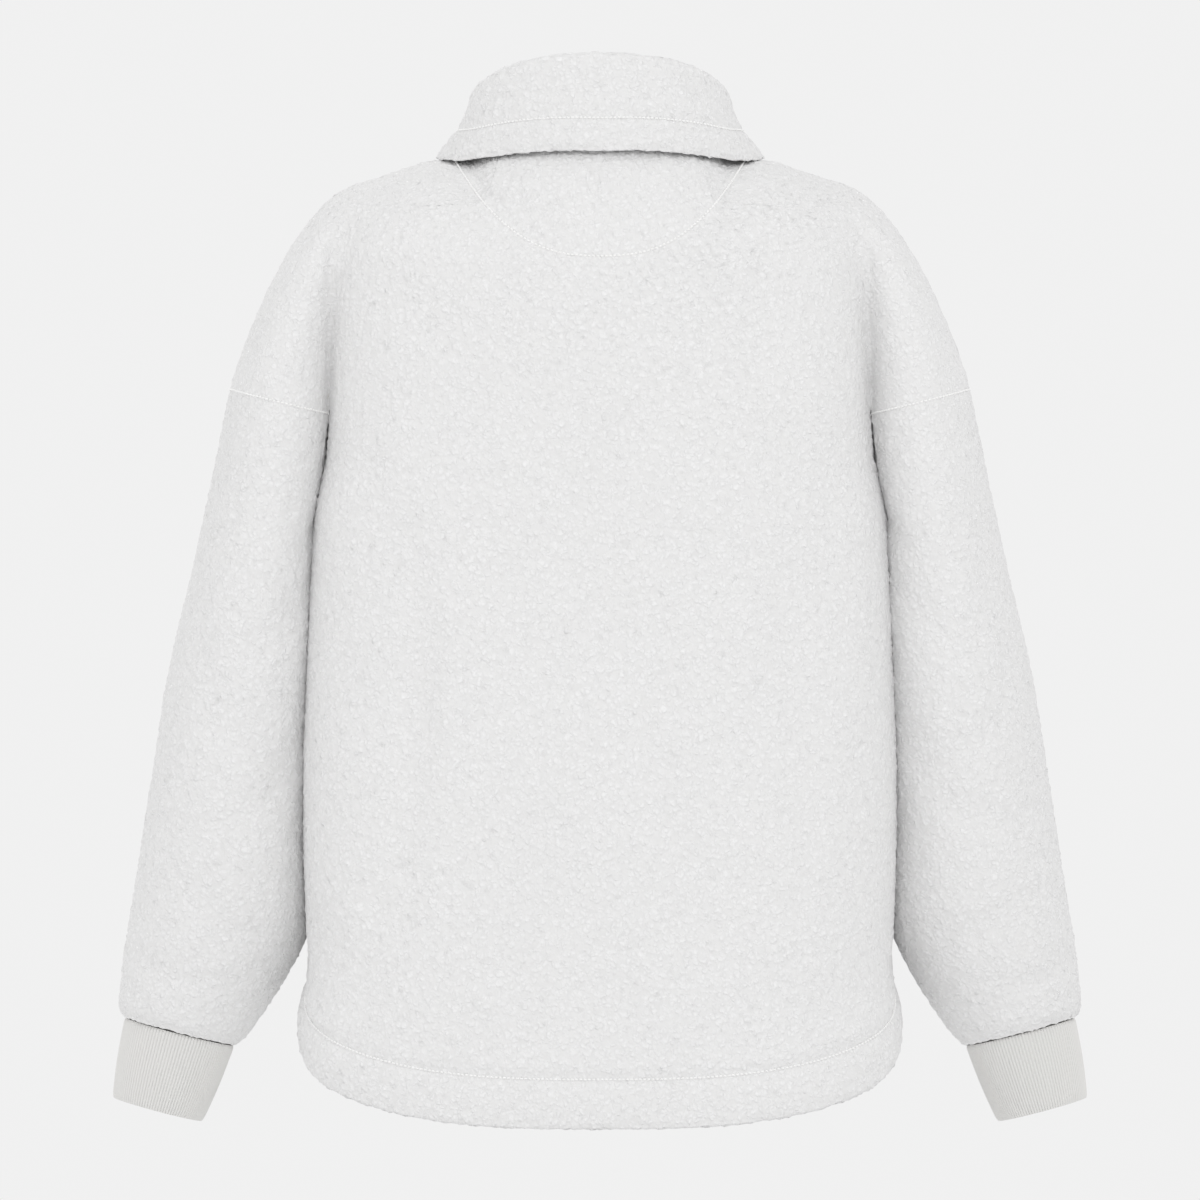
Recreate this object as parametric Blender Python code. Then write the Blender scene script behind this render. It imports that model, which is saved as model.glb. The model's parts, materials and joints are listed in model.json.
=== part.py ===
"""Zip-neck pullover in curly pile fleece, filled out as worn and hollow.

Metres, +Z up. The origin is the middle of the neck opening at shoulder height.
The garment faces -Y, and +X is the wearer's left. Tables are in centimetres.

Panels, neck patch and sleeves share one set of surface points, so that two pieces
that meet at a seam have the same edge and the same wall direction along it.
"""

import math

import bmesh
import bpy
import numpy as np

CM = 0.01
SEAM_GAP = 0.0003

# Walls, reaching as far out as the pile does
PILE_WALL = 0.0040
RIB_WALL = 0.0016
RIB_RISE = 0.0007
TAPE_WALL = 0.0012

# Neck opening, in centimetres
NECK_HALF_WIDTH = 9.0
NECK_BACK_DEPTH = 6.6
NECK_FRONT_DEPTH = 8.6
NECK_BACK_Z = 1.2
NECK_SIDE_Z = -0.10
NECK_FRONT_Z = -7.5
ROW_BEND = 2.6

# Torso, in centimetres
SHOULDER_HALF_WIDTH = 19.6
BOXINESS = 2.9
UNDERARM_Z = -19.2
BACK_ROUNDS_FROM = -9.0
FRONT_ROUNDS_FROM = -18.0
HEM_SIDE_Z = -62.2
HEM_BACK_Z = -69.4
HEM_FRONT_Z = -67.0
HEM_CURVE = 2.9

# Zip, in centimetres
ZIP_END_Z = -27.0
SLIT_HALF_WIDTH = 0.55
TAPE_HALF_WIDTH = 1.45
TAPE_GAP = 0.0005
SLIDER_Z = -8.9
SLIDER_WIDE = 0.86
SLIDER_LONG = 1.15
SLIDER_THICK = 0.30
BRIDGE_WIDE = 0.26
BRIDGE_LONG = 0.84
BRIDGE_RISE = 0.38
BRIDGE_THICK = 0.10
TAB_WIDE = 0.80
TAB_THICK = 0.15
TAB_LONG = 3.0
TAB_BAR = 0.17
TAB_HOLE_WIDE = 0.37
TAB_HOLE_LONG = 0.48
SLIDER_EDGE = 0.06
TAB_EDGE = 0.05
BRIDGE_SINK = 0.1
STOP_Z = -25.6
STOP_WIDE = 0.5
STOP_THICK = 0.22
STOP_LONG = 0.32
STOP_EDGE = 0.04
CUTTER_DEPTH = 1.0

# Collar and cuffs, in centimetres
ROLL_RADIUS = 0.72
COLLAR_LIFT = 0.05
COLLAR_HEM = 2.3
LEAF_PARTS_FROM = 140.0
LEAF_SPREAD = 14.0
COLLAR_FALL = [
    # share of the fall down to the topstitch and on to the edge, swell
    (0.0, 0.0),
    (0.45, 0.0),
    (0.85, 0.0),
    (1.0, -0.12),
    (1.15, 0.08),
    (1.6, 0.12),
    (1.93, 0.03),
    (2.0, -0.1),
]
FALL_BEND = 1.4
LEAF_BEND = 1.5
ROLL_STEPS = (140.0, 90.0, 40.0)
CUFF_RIBS = 88

# Numbers of columns and rows
TORSO_COLUMNS = 9
LOBE_COLUMNS = 5
SIDE_COLUMNS = 2

# Outline of the shoulder seen from behind, from the neck out to the armhole seam
OUTLINE = np.array([
    # half width, height
    (9.0, -0.10),
    (11.0, -0.12),
    (12.4, -0.22),
    (13.9, -0.68),
    (15.6, -1.27),
    (17.6, -1.88),
    (18.9, -2.50),
    (20.1, -3.55),
    (21.9, -5.90),
    (23.6, -8.80),
    (24.9, -11.7),
    (26.0, -14.5),
    (26.6, -16.4),
])

# Rows of the yoke, from the neck down to the level where arm and torso part
YOKE = np.array([
    # step, back z, front z, fold x, back fold z, front fold z, end x
    (0.00, 1.2, -7.5, 7.2, 0.472, -3.357, 9.0),
    (0.14, -7.3, -9.2, 8.3, -3.40, -4.80, 10.4),
    (0.30, -9.0, -10.8, 11.5, -3.60, -5.00, 13.4),
    (0.45, -10.8, -12.4, 14.8, -3.80, -4.80, 16.6),
    (0.60, -12.6, -13.9, 17.4, -4.80, -5.20, 19.5),
    (0.75, -14.4, -15.3, 18.4, -8.40, -8.60, 22.6),
    (0.88, -16.4, -16.8, 19.0, -13.2, -13.2, 25.0),
    (1.00, -18.4, -18.4, 19.4, -18.2, -18.2, 26.6),
])
YOKE_STEPS = [0.0, 0.07, 0.14, 0.24, 0.34, 0.44, 0.52, 0.60, 0.68, 0.76, 0.84, 0.92, 1.0]
PATCH_ROWS = 3

# Torso below the armholes, by height
TORSO = np.array([
    # height, half width, back depth, front depth
    (-70.0, 21.5, 12.3, 12.6),
    (-65.5, 21.7, 12.4, 12.8),
    (-62.0, 21.6, 12.3, 12.8),
    (-58.0, 21.0, 12.1, 12.7),
    (-54.0, 20.9, 12.0, 12.8),
    (-46.0, 20.6, 11.8, 12.9),
    (-38.0, 20.3, 11.6, 13.0),
    (-30.0, 19.9, 11.6, 13.0),
    (-24.0, 19.6, 11.7, 12.9),
    (-18.4, 19.6, 11.7, 12.7),
    (0.0, 19.6, 11.3, 12.4),
])
TORSO_STEPS = [0.0, 0.07, 0.165, 0.19, 0.30, 0.43, 0.57, 0.71, 0.82]
BLEND_STEP = 0.14
BAND_SHARE = 0.93
FOLD_SHARE = 0.99
CROTCH_DRAW = 0.05
HEM_ROWS = [5.2, 4.3, 3.6, 2.9, 1.4, 0.35, 0.0]
HEM_SWELL = [0.0, 0.05, -0.16, 0.08, 0.16, 0.02, -0.20]

# Upper arm under the dropped shoulder, by height
LOBE = np.array([
    # height, inner edge, back depth, front depth
    (-18.4, 18.9, 7.0, 7.6),
    (-14.0, 18.6, 7.0, 7.6),
    (-9.0, 18.0, 6.7, 7.2),
    (-6.0, 17.3, 5.9, 6.3),
    (-4.0, 16.4, 4.5, 4.8),
    (-3.0, 15.6, 2.9, 3.0),
    (-2.0, 15.0, 0.0, 0.0),
])

# Sleeve from the armhole to its end, where it turns in to the cuff
SLEEVE = np.array([
    # centre x, centre y, centre z, tilt, half width, half depth
    (23.78, -0.30, -23.5, 13.0, 4.18, 7.40),
    (24.67, -0.55, -30.0, 11.0, 4.69, 7.45),
    (25.79, -1.00, -38.0, 11.0, 5.42, 7.20),
    (26.59, -1.70, -46.0, 11.0, 5.92, 6.90),
    (27.40, -2.50, -54.0, 12.0, 6.38, 6.45),
    (28.75, -3.10, -58.5, 13.0, 5.80, 5.85),
    (29.75, -3.35, -61.1, 14.0, 5.10, 5.20),
    (30.22, -3.45, -62.3, 14.0, 4.70, 4.80),
    (30.40, -3.50, -62.95, 14.5, 4.18, 4.22),
])
SLEEVE_BLEND = [0.35, 0.75, 1.0, 1.0, 1.0, 1.0, 1.0, 1.0, 1.0]

# Cuff from the sleeve's end to its own
CUFF = np.array([
    # centre x, centre y, centre z, tilt, radius
    (30.40, -3.50, -63.00, 14.5, 4.10),
    (31.15, -3.90, -65.60, 15.0, 3.86),
    (32.02, -4.32, -68.65, 15.0, 3.40),
])

# Collar, by the angle round the neck from the centre back
COLLAR = np.array([
    # angle, roll out, roll up, edge out, edge up
    (0.0, 0.88, 6.10, 1.60, -0.98),
    (30.0, 0.78, 5.88, 1.75, -0.84),
    (45.0, 0.58, 5.66, 2.00, -0.60),
    (60.0, 0.28, 5.32, 2.40, -0.32),
    (90.0, -0.30, 4.66, 2.85, 0.26),
    (120.0, -0.10, 4.45, 3.00, 1.20),
    (150.0, 0.30, 4.05, 2.95, 0.70),
    (175.0, 0.60, 3.60, 2.60, 0.00),
])

COLOURS = {
    # red, green, blue, roughness, metallic
    "pile_fleece": (0.86, 0.86, 0.84, 0.95, 0.0),
    "rib_knit": (0.70, 0.69, 0.67, 0.90, 0.0),
    "zip_tape": (0.80, 0.79, 0.76, 0.90, 0.0),
    "zip_metal": (0.72, 0.71, 0.69, 0.35, 1.0),
}


def curve(at, keys, values):
    """A smooth curve through the points of a table, which doesn't overshoot them."""
    at, keys, values = (np.asarray(a, float) for a in (at, keys, values))
    step = np.diff(values) / np.diff(keys)
    slope = np.concatenate([step[:1], np.zeros(len(keys) - 2), step[-1:]])
    both = step[:-1] * step[1:]
    same = both > 0
    slope[1:-1][same] = 2 * both[same] / (step[:-1] + step[1:])[same]
    k = np.clip(np.searchsorted(keys, at) - 1, 0, len(keys) - 2)
    width = keys[k + 1] - keys[k]
    u = np.clip((at - keys[k]) / width, 0, 1)
    rise = values[k + 1] - values[k]
    bend = slope[k] * width - rise
    other = rise - slope[k + 1] * width
    return values[k] + u * rise + u * (1 - u) * (bend * (1 - u) + other * u)


def column(table, number, at):
    return curve(at, table[:, 0], table[:, number])


def outline_points():
    """The shoulder outline as a fine polyline, by its half width."""
    along = np.linspace(0, len(OUTLINE) - 1, 400)
    number = np.arange(len(OUTLINE))
    return curve(along, number, OUTLINE[:, 0]), curve(along, number, OUTLINE[:, 1])


OUTLINE_X, OUTLINE_Z = outline_points()


def outline_z(x):
    return np.interp(x, OUTLINE_X, OUTLINE_Z)


def outline_x(z):
    return np.interp(-z, -OUTLINE_Z, OUTLINE_X)


def neck_line(x, back):
    """Height and depth of the neck opening's edge at a distance from the centre."""
    centre = NECK_BACK_Z if back else NECK_FRONT_Z
    depth = NECK_BACK_DEPTH if back else NECK_FRONT_DEPTH
    part = np.clip(x / NECK_HALF_WIDTH, 0, 1)
    return centre + (NECK_SIDE_Z - centre) * part**ROW_BEND, depth * np.sqrt(1 - part**2)


def yoke_depth(x, z, back):
    """Distance of the yoke's surface from the plane of the shoulder seams.

    The torso is a rounded box that closes to the outline at the top, the upper arm
    an ellipse beside it, and a high power sum joins them with a valley between.
    """
    full = column(TORSO, 2 if back else 3, z)
    box = np.clip(1 - (x / SHOULDER_HALF_WIDTH) ** BOXINESS, 0, 1) ** (1 / BOXINESS)
    neck_z, neck_y = neck_line(x, back)
    outside = x > NECK_HALF_WIDTH
    top_z = np.where(outside, outline_z(x), neck_z)
    top_y = np.where(outside, 0.0, neck_y)
    start = BACK_ROUNDS_FROM if back else FRONT_ROUNDS_FROM
    up = np.clip((z - start) / (top_z - start), 0, 1)
    power = 1 - 0.5 * np.clip(x / NECK_HALF_WIDTH, 0, 1) ** 2
    closing = (1 - up**2) ** power
    torso = top_y + (full * box - top_y) * closing
    inner = curve(z, LOBE[:, 0], LOBE[:, 1])
    half = (outline_x(z) - inner) / 2
    across = np.clip((x - inner - half) / np.maximum(half, 0.01), -1, 1)
    arm = curve(z, LOBE[:, 0], LOBE[:, 2 if back else 3]) * np.sqrt(1 - across**2)
    return (np.maximum(torso, 0) ** 6 + arm**6) ** (1 / 6)


def torso_shares():
    """Where the torso's columns lie, as shares of the fold's half width, closer near the fold."""
    return np.sin(np.linspace(0, math.pi / 2, TORSO_COLUMNS + 1))


def yoke_grid(back):
    """Rows from the neck to the armhole level, columns from the centre to the shoulder seam."""
    steps = np.array(YOKE_STEPS)[:, None]
    centre = column(YOKE, 1 if back else 2, steps)
    fold_x = column(YOKE, 3, steps)
    fold_z = column(YOKE, 4 if back else 5, steps)
    end_x = column(YOKE, 6, steps)
    end_z = outline_z(end_x)
    x_torso = fold_x * torso_shares()
    z_torso = centre + (fold_z - centre) * (x_torso / fold_x) ** ROW_BEND
    round_in = np.sin(np.linspace(0, math.pi / 2, LOBE_COLUMNS + 1))[1:]
    x_lobe = fold_x + (end_x - fold_x) * round_in
    rising = (x_lobe**ROW_BEND - fold_x**ROW_BEND) / (end_x**ROW_BEND - fold_x**ROW_BEND)
    z_lobe = fold_z + (end_z - fold_z) * rising
    x = np.concatenate([x_torso, x_lobe], axis=1)
    z = np.concatenate([z_torso, z_lobe], axis=1)
    y = yoke_depth(x, z, back)
    y[:, -1] = 0
    return np.stack([x, y if back else -y, z], axis=-1)


def hem_height(share, back):
    centre = HEM_BACK_Z if back else HEM_FRONT_Z
    return centre + (HEM_SIDE_Z - centre) * share**HEM_CURVE


def torso_section(z, back):
    """One row of torso points at the heights z, from the centre to the side seam."""
    half = column(TORSO, 1, z)
    depth = column(TORSO, 2 if back else 3, z)
    shares = torso_shares() * FOLD_SHARE
    x = half[: TORSO_COLUMNS + 1] * shares
    y = depth[: TORSO_COLUMNS + 1] * (1 - shares**BOXINESS) ** (1 / BOXINESS)
    down = np.linspace(1, 0, SIDE_COLUMNS + 1)[1:]
    y_side = depth[TORSO_COLUMNS + 1 :] * (1 - shares[-1] ** BOXINESS) ** (1 / BOXINESS) * down
    x_side = half[TORSO_COLUMNS + 1 :] * (
        1 - (y_side / depth[TORSO_COLUMNS + 1 :]) ** BOXINESS
    ) ** (1 / BOXINESS)
    x, y = np.concatenate([x, x_side]), np.concatenate([y, y_side])
    return np.stack([x, y if back else -y, z], axis=-1)


def torso_grid(back, top):
    """Rows from the armhole level, whose points are given, down to the turned hem."""
    flat = torso_section(np.full(len(top), -45.0), back)
    gone = np.concatenate([[0], np.cumsum(np.linalg.norm(np.diff(flat, axis=0), axis=1))])
    hem = hem_height(gone / gone[-1], back)
    band_top = hem + HEM_ROWS[0]
    rows = [top]
    for step in TORSO_STEPS[1:]:
        z = top[:, 2] + (band_top - top[:, 2]) * step / TORSO_STEPS[-1] * BAND_SHARE
        row = torso_section(z, back)
        blend = min(1.0, step / BLEND_STEP)
        row[:, :2] = top[:, :2] + (row[:, :2] - top[:, :2]) * blend
        rows.append(row)
    for above, swell in zip(HEM_ROWS, HEM_SWELL):
        row = torso_section(hem + above, back)
        out = row[:, :2] / np.linalg.norm(row[:, :2], axis=1)[:, None]
        row[:, :2] += out * swell
        row[-1, 1] = 0
        row[0, 0] = 0
        rows.append(row)
    return np.array(rows)


def ring(centre, tilt, half_width, half_depth, angles):
    """An ellipse whose outer end is tilted up, by angles from that end towards the back."""
    lean = math.radians(tilt)
    across = half_width * np.cos(angles)
    return np.stack([
        centre[0] + across * math.cos(lean),
        centre[1] + half_depth * np.sin(angles),
        centre[2] + across * math.sin(lean),
    ], axis=-1)


def sleeve_grid(armhole):
    """Rows from the armhole loop, whose points are given, to the end that turns in."""
    loop = armhole[:-1]
    middle = (loop.max(axis=0) + loop.min(axis=0)) / 2
    sizes = (loop.max(axis=0) - loop.min(axis=0)) / 2
    own = np.arctan2(loop[:, 1] / sizes[1], (loop[:, 0] - middle[0]) / sizes[0])
    own = np.unwrap(own)
    even = np.linspace(0, 2 * math.pi, len(armhole))[:-1]
    rows = [armhole]
    for (x, y, z, tilt, half_width, half_depth), blend in zip(SLEEVE, SLEEVE_BLEND):
        angles = own + (even - own) * blend
        row = ring((x, y, z), tilt, half_width, half_depth, angles)
        rows.append(np.concatenate([row, row[:1]]))
    return np.array(rows)


class Cloth:
    """Pieces of cloth on shared points, with one wall direction at each point."""

    def __init__(self):
        self.grids = []

    def add(self, piece, grid, flip=False):
        """Adds a grid of points to a piece, with its faces turned over if flip is set."""
        self.grids.append((piece, grid, flip))

    def join(self):
        points, faces, owners = [], [], []
        count = 0
        for piece, grid, flip in self.grids:
            index = count + np.arange(grid.shape[0] * grid.shape[1]).reshape(grid.shape[:2])
            quads = np.stack([index[:-1, :-1], index[1:, :-1], index[1:, 1:], index[:-1, 1:]], axis=-1)
            quads = quads.reshape(-1, 4)
            faces.append(quads[:, ::-1] if flip else quads)
            owners += [piece] * len(quads)
            points.append(grid.reshape(-1, 3))
            count += grid.shape[0] * grid.shape[1]
        points, faces = np.concatenate(points) * CM, np.concatenate(faces)
        _, first, index = np.unique(
            np.round(points * 1e6).astype(np.int64), axis=0, return_index=True, return_inverse=True
        )
        self.points = points[first]
        self.faces = index.reshape(-1)[faces]
        self.owners = np.array(owners)
        corners = self.points[self.faces]
        across = np.cross(corners[:, 2] - corners[:, 0], corners[:, 3] - corners[:, 1])
        normals = np.zeros_like(self.points)
        for corner in range(4):
            np.add.at(normals, self.faces[:, corner], across)
        self.normals = normals / np.linalg.norm(normals, axis=1)[:, None]

    def solid(self, piece, wall, colour):
        """A closed wall for one piece, drawn back half a seam gap along its own edges."""
        faces = self.faces[self.owners == piece]
        used, index = np.unique(faces, return_inverse=True)
        faces = index.reshape(faces.shape)
        points, normals = self.points[used], self.normals[used]
        ends = np.concatenate([faces[:, [k, (k + 1) % 4]] for k in range(4)])
        known = set(map(tuple, ends.tolist()))
        rim = np.array([end for end in known if end[::-1] not in known])
        rim = rim[np.lexsort((rim[:, 1], rim[:, 0]))]
        inward = np.cross(normals[rim].mean(axis=1), points[rim[:, 1]] - points[rim[:, 0]])
        inward /= np.linalg.norm(inward, axis=1)[:, None]
        pull = np.zeros_like(points)
        for end in range(2):
            np.add.at(pull, rim[:, end], inward)
        length = np.linalg.norm(pull, axis=1)
        edge = length > 0
        pull[edge] *= (SEAM_GAP / length[edge] ** 2)[:, None]
        outer = points + pull
        inner = outer - normals * wall
        count = len(points)
        skin = faces.tolist()
        lining = (faces[:, ::-1] + count).tolist()
        walls = np.stack([rim[:, 1], rim[:, 0], rim[:, 0] + count, rim[:, 1] + count], axis=-1).tolist()
        return new_object(piece, np.concatenate([outer, inner]), skin + lining + walls, colour)


def material(name):
    """One plain material for each finish."""
    found = bpy.data.materials.get(name)
    if found:
        return found
    made = bpy.data.materials.new(name)
    made.use_nodes = True
    red, green, blue, rough, metal = COLOURS[name]
    shader = made.node_tree.nodes["Principled BSDF"]
    shader.inputs["Base Color"].default_value = (red, green, blue, 1)
    shader.inputs["Roughness"].default_value = rough
    shader.inputs["Metallic"].default_value = metal
    made.diffuse_color = (red, green, blue, 1)
    return made


def new_object(name, points, faces, colour):
    mesh = bpy.data.meshes.new(name)
    mesh.from_pydata(np.asarray(points).tolist(), [], faces)
    mesh.validate()
    mesh.update()
    mesh.shade_smooth()
    mesh.set_sharp_from_angle(angle=math.radians(50))
    mesh.materials.append(material(colour))
    made = bpy.data.objects.new(name, mesh)
    collection.objects.link(made)
    return made


def neck_frame(angle):
    """Points of the neck seam and the level directions out of it, by the angle from the centre back."""
    turn = np.radians(angle)
    x = NECK_HALF_WIDTH * np.sin(turn)
    depth = np.where(angle <= 90, NECK_BACK_DEPTH, NECK_FRONT_DEPTH)
    z = np.where(angle <= 90, neck_line(x, True)[0], neck_line(x, False)[0])
    out = np.stack([np.sin(turn) / NECK_HALF_WIDTH, np.cos(turn) / depth, np.zeros_like(z)], axis=-1)
    out /= np.linalg.norm(out, axis=-1)[..., None]
    return np.stack([x, depth * np.cos(turn), z], axis=-1), out


def collar_grid():
    """Rows up the stand, over the roll and down the fall; columns from the centre back to the leaf's end.

    The face that shows looks into the neck on the stand and outwards on the fall.
    """
    quarter = np.degrees(np.arcsin(np.clip(yoke_grid(True)[0, :, 0] / NECK_HALF_WIDTH, 0, 1)))
    angle = np.concatenate([quarter, 180 - quarter[-2::-1]])
    angle[-1] = 180 - math.degrees(math.asin(SLIT_HALF_WIDTH / NECK_HALF_WIDTH))
    roll_out, roll_up, edge_out, edge_up = (column(COLLAR, k, angle) for k in range(1, 5))
    turn_up = roll_up - ROLL_RADIUS
    stand = np.array([0.0, 0.5, 1.0])[:, None]
    outs = list(-PILE_WALL / CM + (roll_out - ROLL_RADIUS + PILE_WALL / CM) * stand)
    ups = list(turn_up * stand)
    for bend in np.radians(ROLL_STEPS):
        outs.append(roll_out + ROLL_RADIUS * math.cos(bend))
        ups.append(turn_up + ROLL_RADIUS * math.sin(bend))
    falls = [0.0] * len(outs)
    stitch = 1 - COLLAR_HEM / np.hypot(turn_up - edge_up, edge_out - roll_out - ROLL_RADIUS)
    for share, swell in COLLAR_FALL:
        down = stitch * np.minimum(share, 1) + (1 - stitch) * max(share - 1, 0)
        outs.append(roll_out + ROLL_RADIUS + (edge_out - roll_out - ROLL_RADIUS) * down**FALL_BEND + swell)
        ups.append(turn_up + (edge_up - turn_up) * down)
        falls.append(down)
    late = np.clip((angle - LEAF_PARTS_FROM) / (angle[-1] - LEAF_PARTS_FROM), 0, 1) ** LEAF_BEND
    rows = []
    for out, up, fall in zip(outs, ups, falls):
        base, level = neck_frame(angle - LEAF_SPREAD * late * fall)
        row = base + level * np.asarray(out)[:, None]
        row[:, 2] += up + COLLAR_LIFT
        rows.append(row)
    return np.array(rows)


def closed_tube(name, outer, inner, colour):
    """A tube's wall from two grids of rings, which close round on themselves."""
    rows, columns = outer.shape[:2]
    points = np.concatenate([outer.reshape(-1, 3), inner.reshape(-1, 3)]) * CM
    index = np.arange(rows * columns).reshape(rows, columns)
    after = np.roll(index, -1, axis=1)
    shift = rows * columns
    skin = np.stack([index[:-1], index[1:], after[1:], after[:-1]], axis=-1).reshape(-1, 4)
    top = np.stack([index[0], after[0], after[0] + shift, index[0] + shift], axis=-1)
    bottom = np.stack([after[-1], index[-1], index[-1] + shift, after[-1] + shift], axis=-1)
    faces = np.concatenate([skin, skin[:, ::-1] + shift, top, bottom])
    return new_object(name, points, faces.tolist(), colour)


def cuff(name, side):
    """A tube of rib knit: the ribs are raised in its outer points over a plain inside."""
    angles = np.linspace(0, 2 * math.pi, 2 * CUFF_RIBS, endpoint=False)
    rise = np.where(np.arange(2 * CUFF_RIBS) % 2 == 0, RIB_RISE / CM, 0.0)
    outer, inner = [], []
    for x, y, z, tilt, radius in CUFF:
        valley = radius - RIB_RISE / CM
        outer.append(ring((x, y, z), tilt, valley + rise, valley + rise, angles))
        inner.append(ring((x, y, z), tilt, valley - RIB_WALL / CM, valley - RIB_WALL / CM, angles))
    outer, inner = np.array(outer), np.array(inner)
    if side < 0:
        outer, inner = mirrored(outer)[:, ::-1], mirrored(inner)[:, ::-1]
    return closed_tube(name, outer, inner, "rib_knit")


def centre_front(z):
    """The point of the front at the centre at a height, and the angle by which it leans back."""
    heights = np.array([z - 0.5, z, z + 0.5])
    depth = yoke_depth(np.zeros(3), heights, False)
    return np.array([0.0, -depth[1], z]), math.atan2(depth[0] - depth[2], 1.0)


def zip_tape(name, side, edge, beside):
    """A strip behind one edge of the slit, from the panel's own points moved in."""
    run = np.gradient(edge, axis=0)
    out = np.stack([np.zeros(len(edge)), run[:, 2], -run[:, 1]], axis=-1)
    out /= np.linalg.norm(out, axis=1)[:, None]
    share = np.clip((TAPE_HALF_WIDTH - edge[:, 0]) / (beside[:, 0] - edge[:, 0]), 0, 0.95)
    far = edge + (beside - edge) * share[:, None]
    near = edge.copy()
    near[:, 0] = SEAM_GAP / CM / 2
    front = (PILE_WALL + TAPE_GAP) / CM
    back = front + TAPE_WALL / CM
    rings = np.stack([near - out * front, far - out * front, far - out * back, near - out * back], axis=1)
    rings[..., 0] *= side
    if side < 0:
        rings = rings[:, ::-1]
    rows, corners = rings.shape[:2]
    index = np.arange(rows * corners).reshape(rows, corners)
    after = np.roll(index, -1, axis=1)
    sides = np.stack([index[:-1], index[1:], after[1:], after[:-1]], axis=-1).reshape(-1, 4).tolist()
    ends = [index[0].tolist(), index[-1][::-1].tolist()]
    return new_object(name, rings.reshape(-1, 3) * CM, sides + ends, "zip_tape")


def box(name, size, middle, colour, rounded=0.0):
    """A box in centimetres about a point of the object's own frame, with its edges rounded."""
    mesh = bpy.data.meshes.new(name)
    shape = bmesh.new()
    bmesh.ops.create_cube(shape, size=CM)
    bmesh.ops.scale(shape, vec=size, verts=shape.verts)
    bmesh.ops.translate(shape, vec=[value * CM for value in middle], verts=shape.verts)
    if rounded:
        bmesh.ops.bevel(shape, geom=shape.edges[:], offset=rounded * CM, segments=2, affect="EDGES")
    shape.to_mesh(mesh)
    shape.free()
    mesh.materials.append(material(colour))
    return bpy.data.objects.new(name, mesh)


def cut_or_join(target, other, how):
    """Cuts one object with another, or joins them into one body."""
    helpers.objects.link(other)
    other.hide_render = True
    other.display_type = "WIRE"
    other.location = target.location
    other.rotation_euler = target.rotation_euler
    step = target.modifiers.new(other.name, "BOOLEAN")
    step.operation = how
    step.object = other


def stand_on_zip(made, z, lift=0.0):
    """Places an object at the centre front, its own Z up along the zip and its -Y outwards."""
    place, lean = centre_front(z)
    place = place + lift * np.array([0.0, -math.cos(lean), math.sin(lean)])
    made.location = [value * CM for value in place]
    made.rotation_euler = (-lean, 0, 0)


def zip_hardware():
    """Slider with its bridge, pull tab hinged on the bridge, and bottom stop."""
    tape_face = -(PILE_WALL + TAPE_GAP) / CM
    base = tape_face + SEAM_GAP / CM
    top = base + SLIDER_THICK
    slider = box("zip_slider", (SLIDER_WIDE, SLIDER_THICK, SLIDER_LONG), (0, -(base + top) / 2, 0),
                 "zip_metal", SLIDER_EDGE)
    collection.objects.link(slider)
    stand_on_zip(slider, SLIDER_Z)
    bridge_rise = top + BRIDGE_RISE
    bridge = box("bridge", (BRIDGE_WIDE, BRIDGE_RISE + BRIDGE_SINK, BRIDGE_LONG),
                 (0, -(top - BRIDGE_SINK + bridge_rise) / 2, 0), "zip_metal")
    cut_or_join(slider, bridge, "UNION")
    inside = box("bridge_inside", (SLIDER_WIDE, BRIDGE_RISE - BRIDGE_THICK, BRIDGE_LONG - 2 * BRIDGE_THICK),
                 (0, -(top + (BRIDGE_RISE - BRIDGE_THICK) / 2), 0), "zip_metal")
    cut_or_join(slider, inside, "DIFFERENCE")
    axis = top + (BRIDGE_RISE - BRIDGE_THICK) / 2
    tab = box("zip_pull", (TAB_WIDE, TAB_THICK, TAB_LONG), (0, 0, TAB_BAR / 2 - TAB_LONG / 2),
              "zip_metal", TAB_EDGE)
    collection.objects.link(tab)
    stand_on_zip(tab, SLIDER_Z, axis)
    hole = box("pull_hole", (TAB_HOLE_WIDE, CUTTER_DEPTH, TAB_HOLE_LONG),
               (0, 0, -TAB_BAR / 2 - TAB_HOLE_LONG / 2), "zip_metal")
    cut_or_join(tab, hole, "DIFFERENCE")
    stop = box("bottom_stop", (STOP_WIDE, STOP_THICK, STOP_LONG), (0, -(base + STOP_THICK / 2), 0),
               "zip_metal", STOP_EDGE)
    collection.objects.link(stop)
    stand_on_zip(stop, STOP_Z)


def mirrored(grid):
    return grid * np.array([-1, 1, 1])


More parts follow.
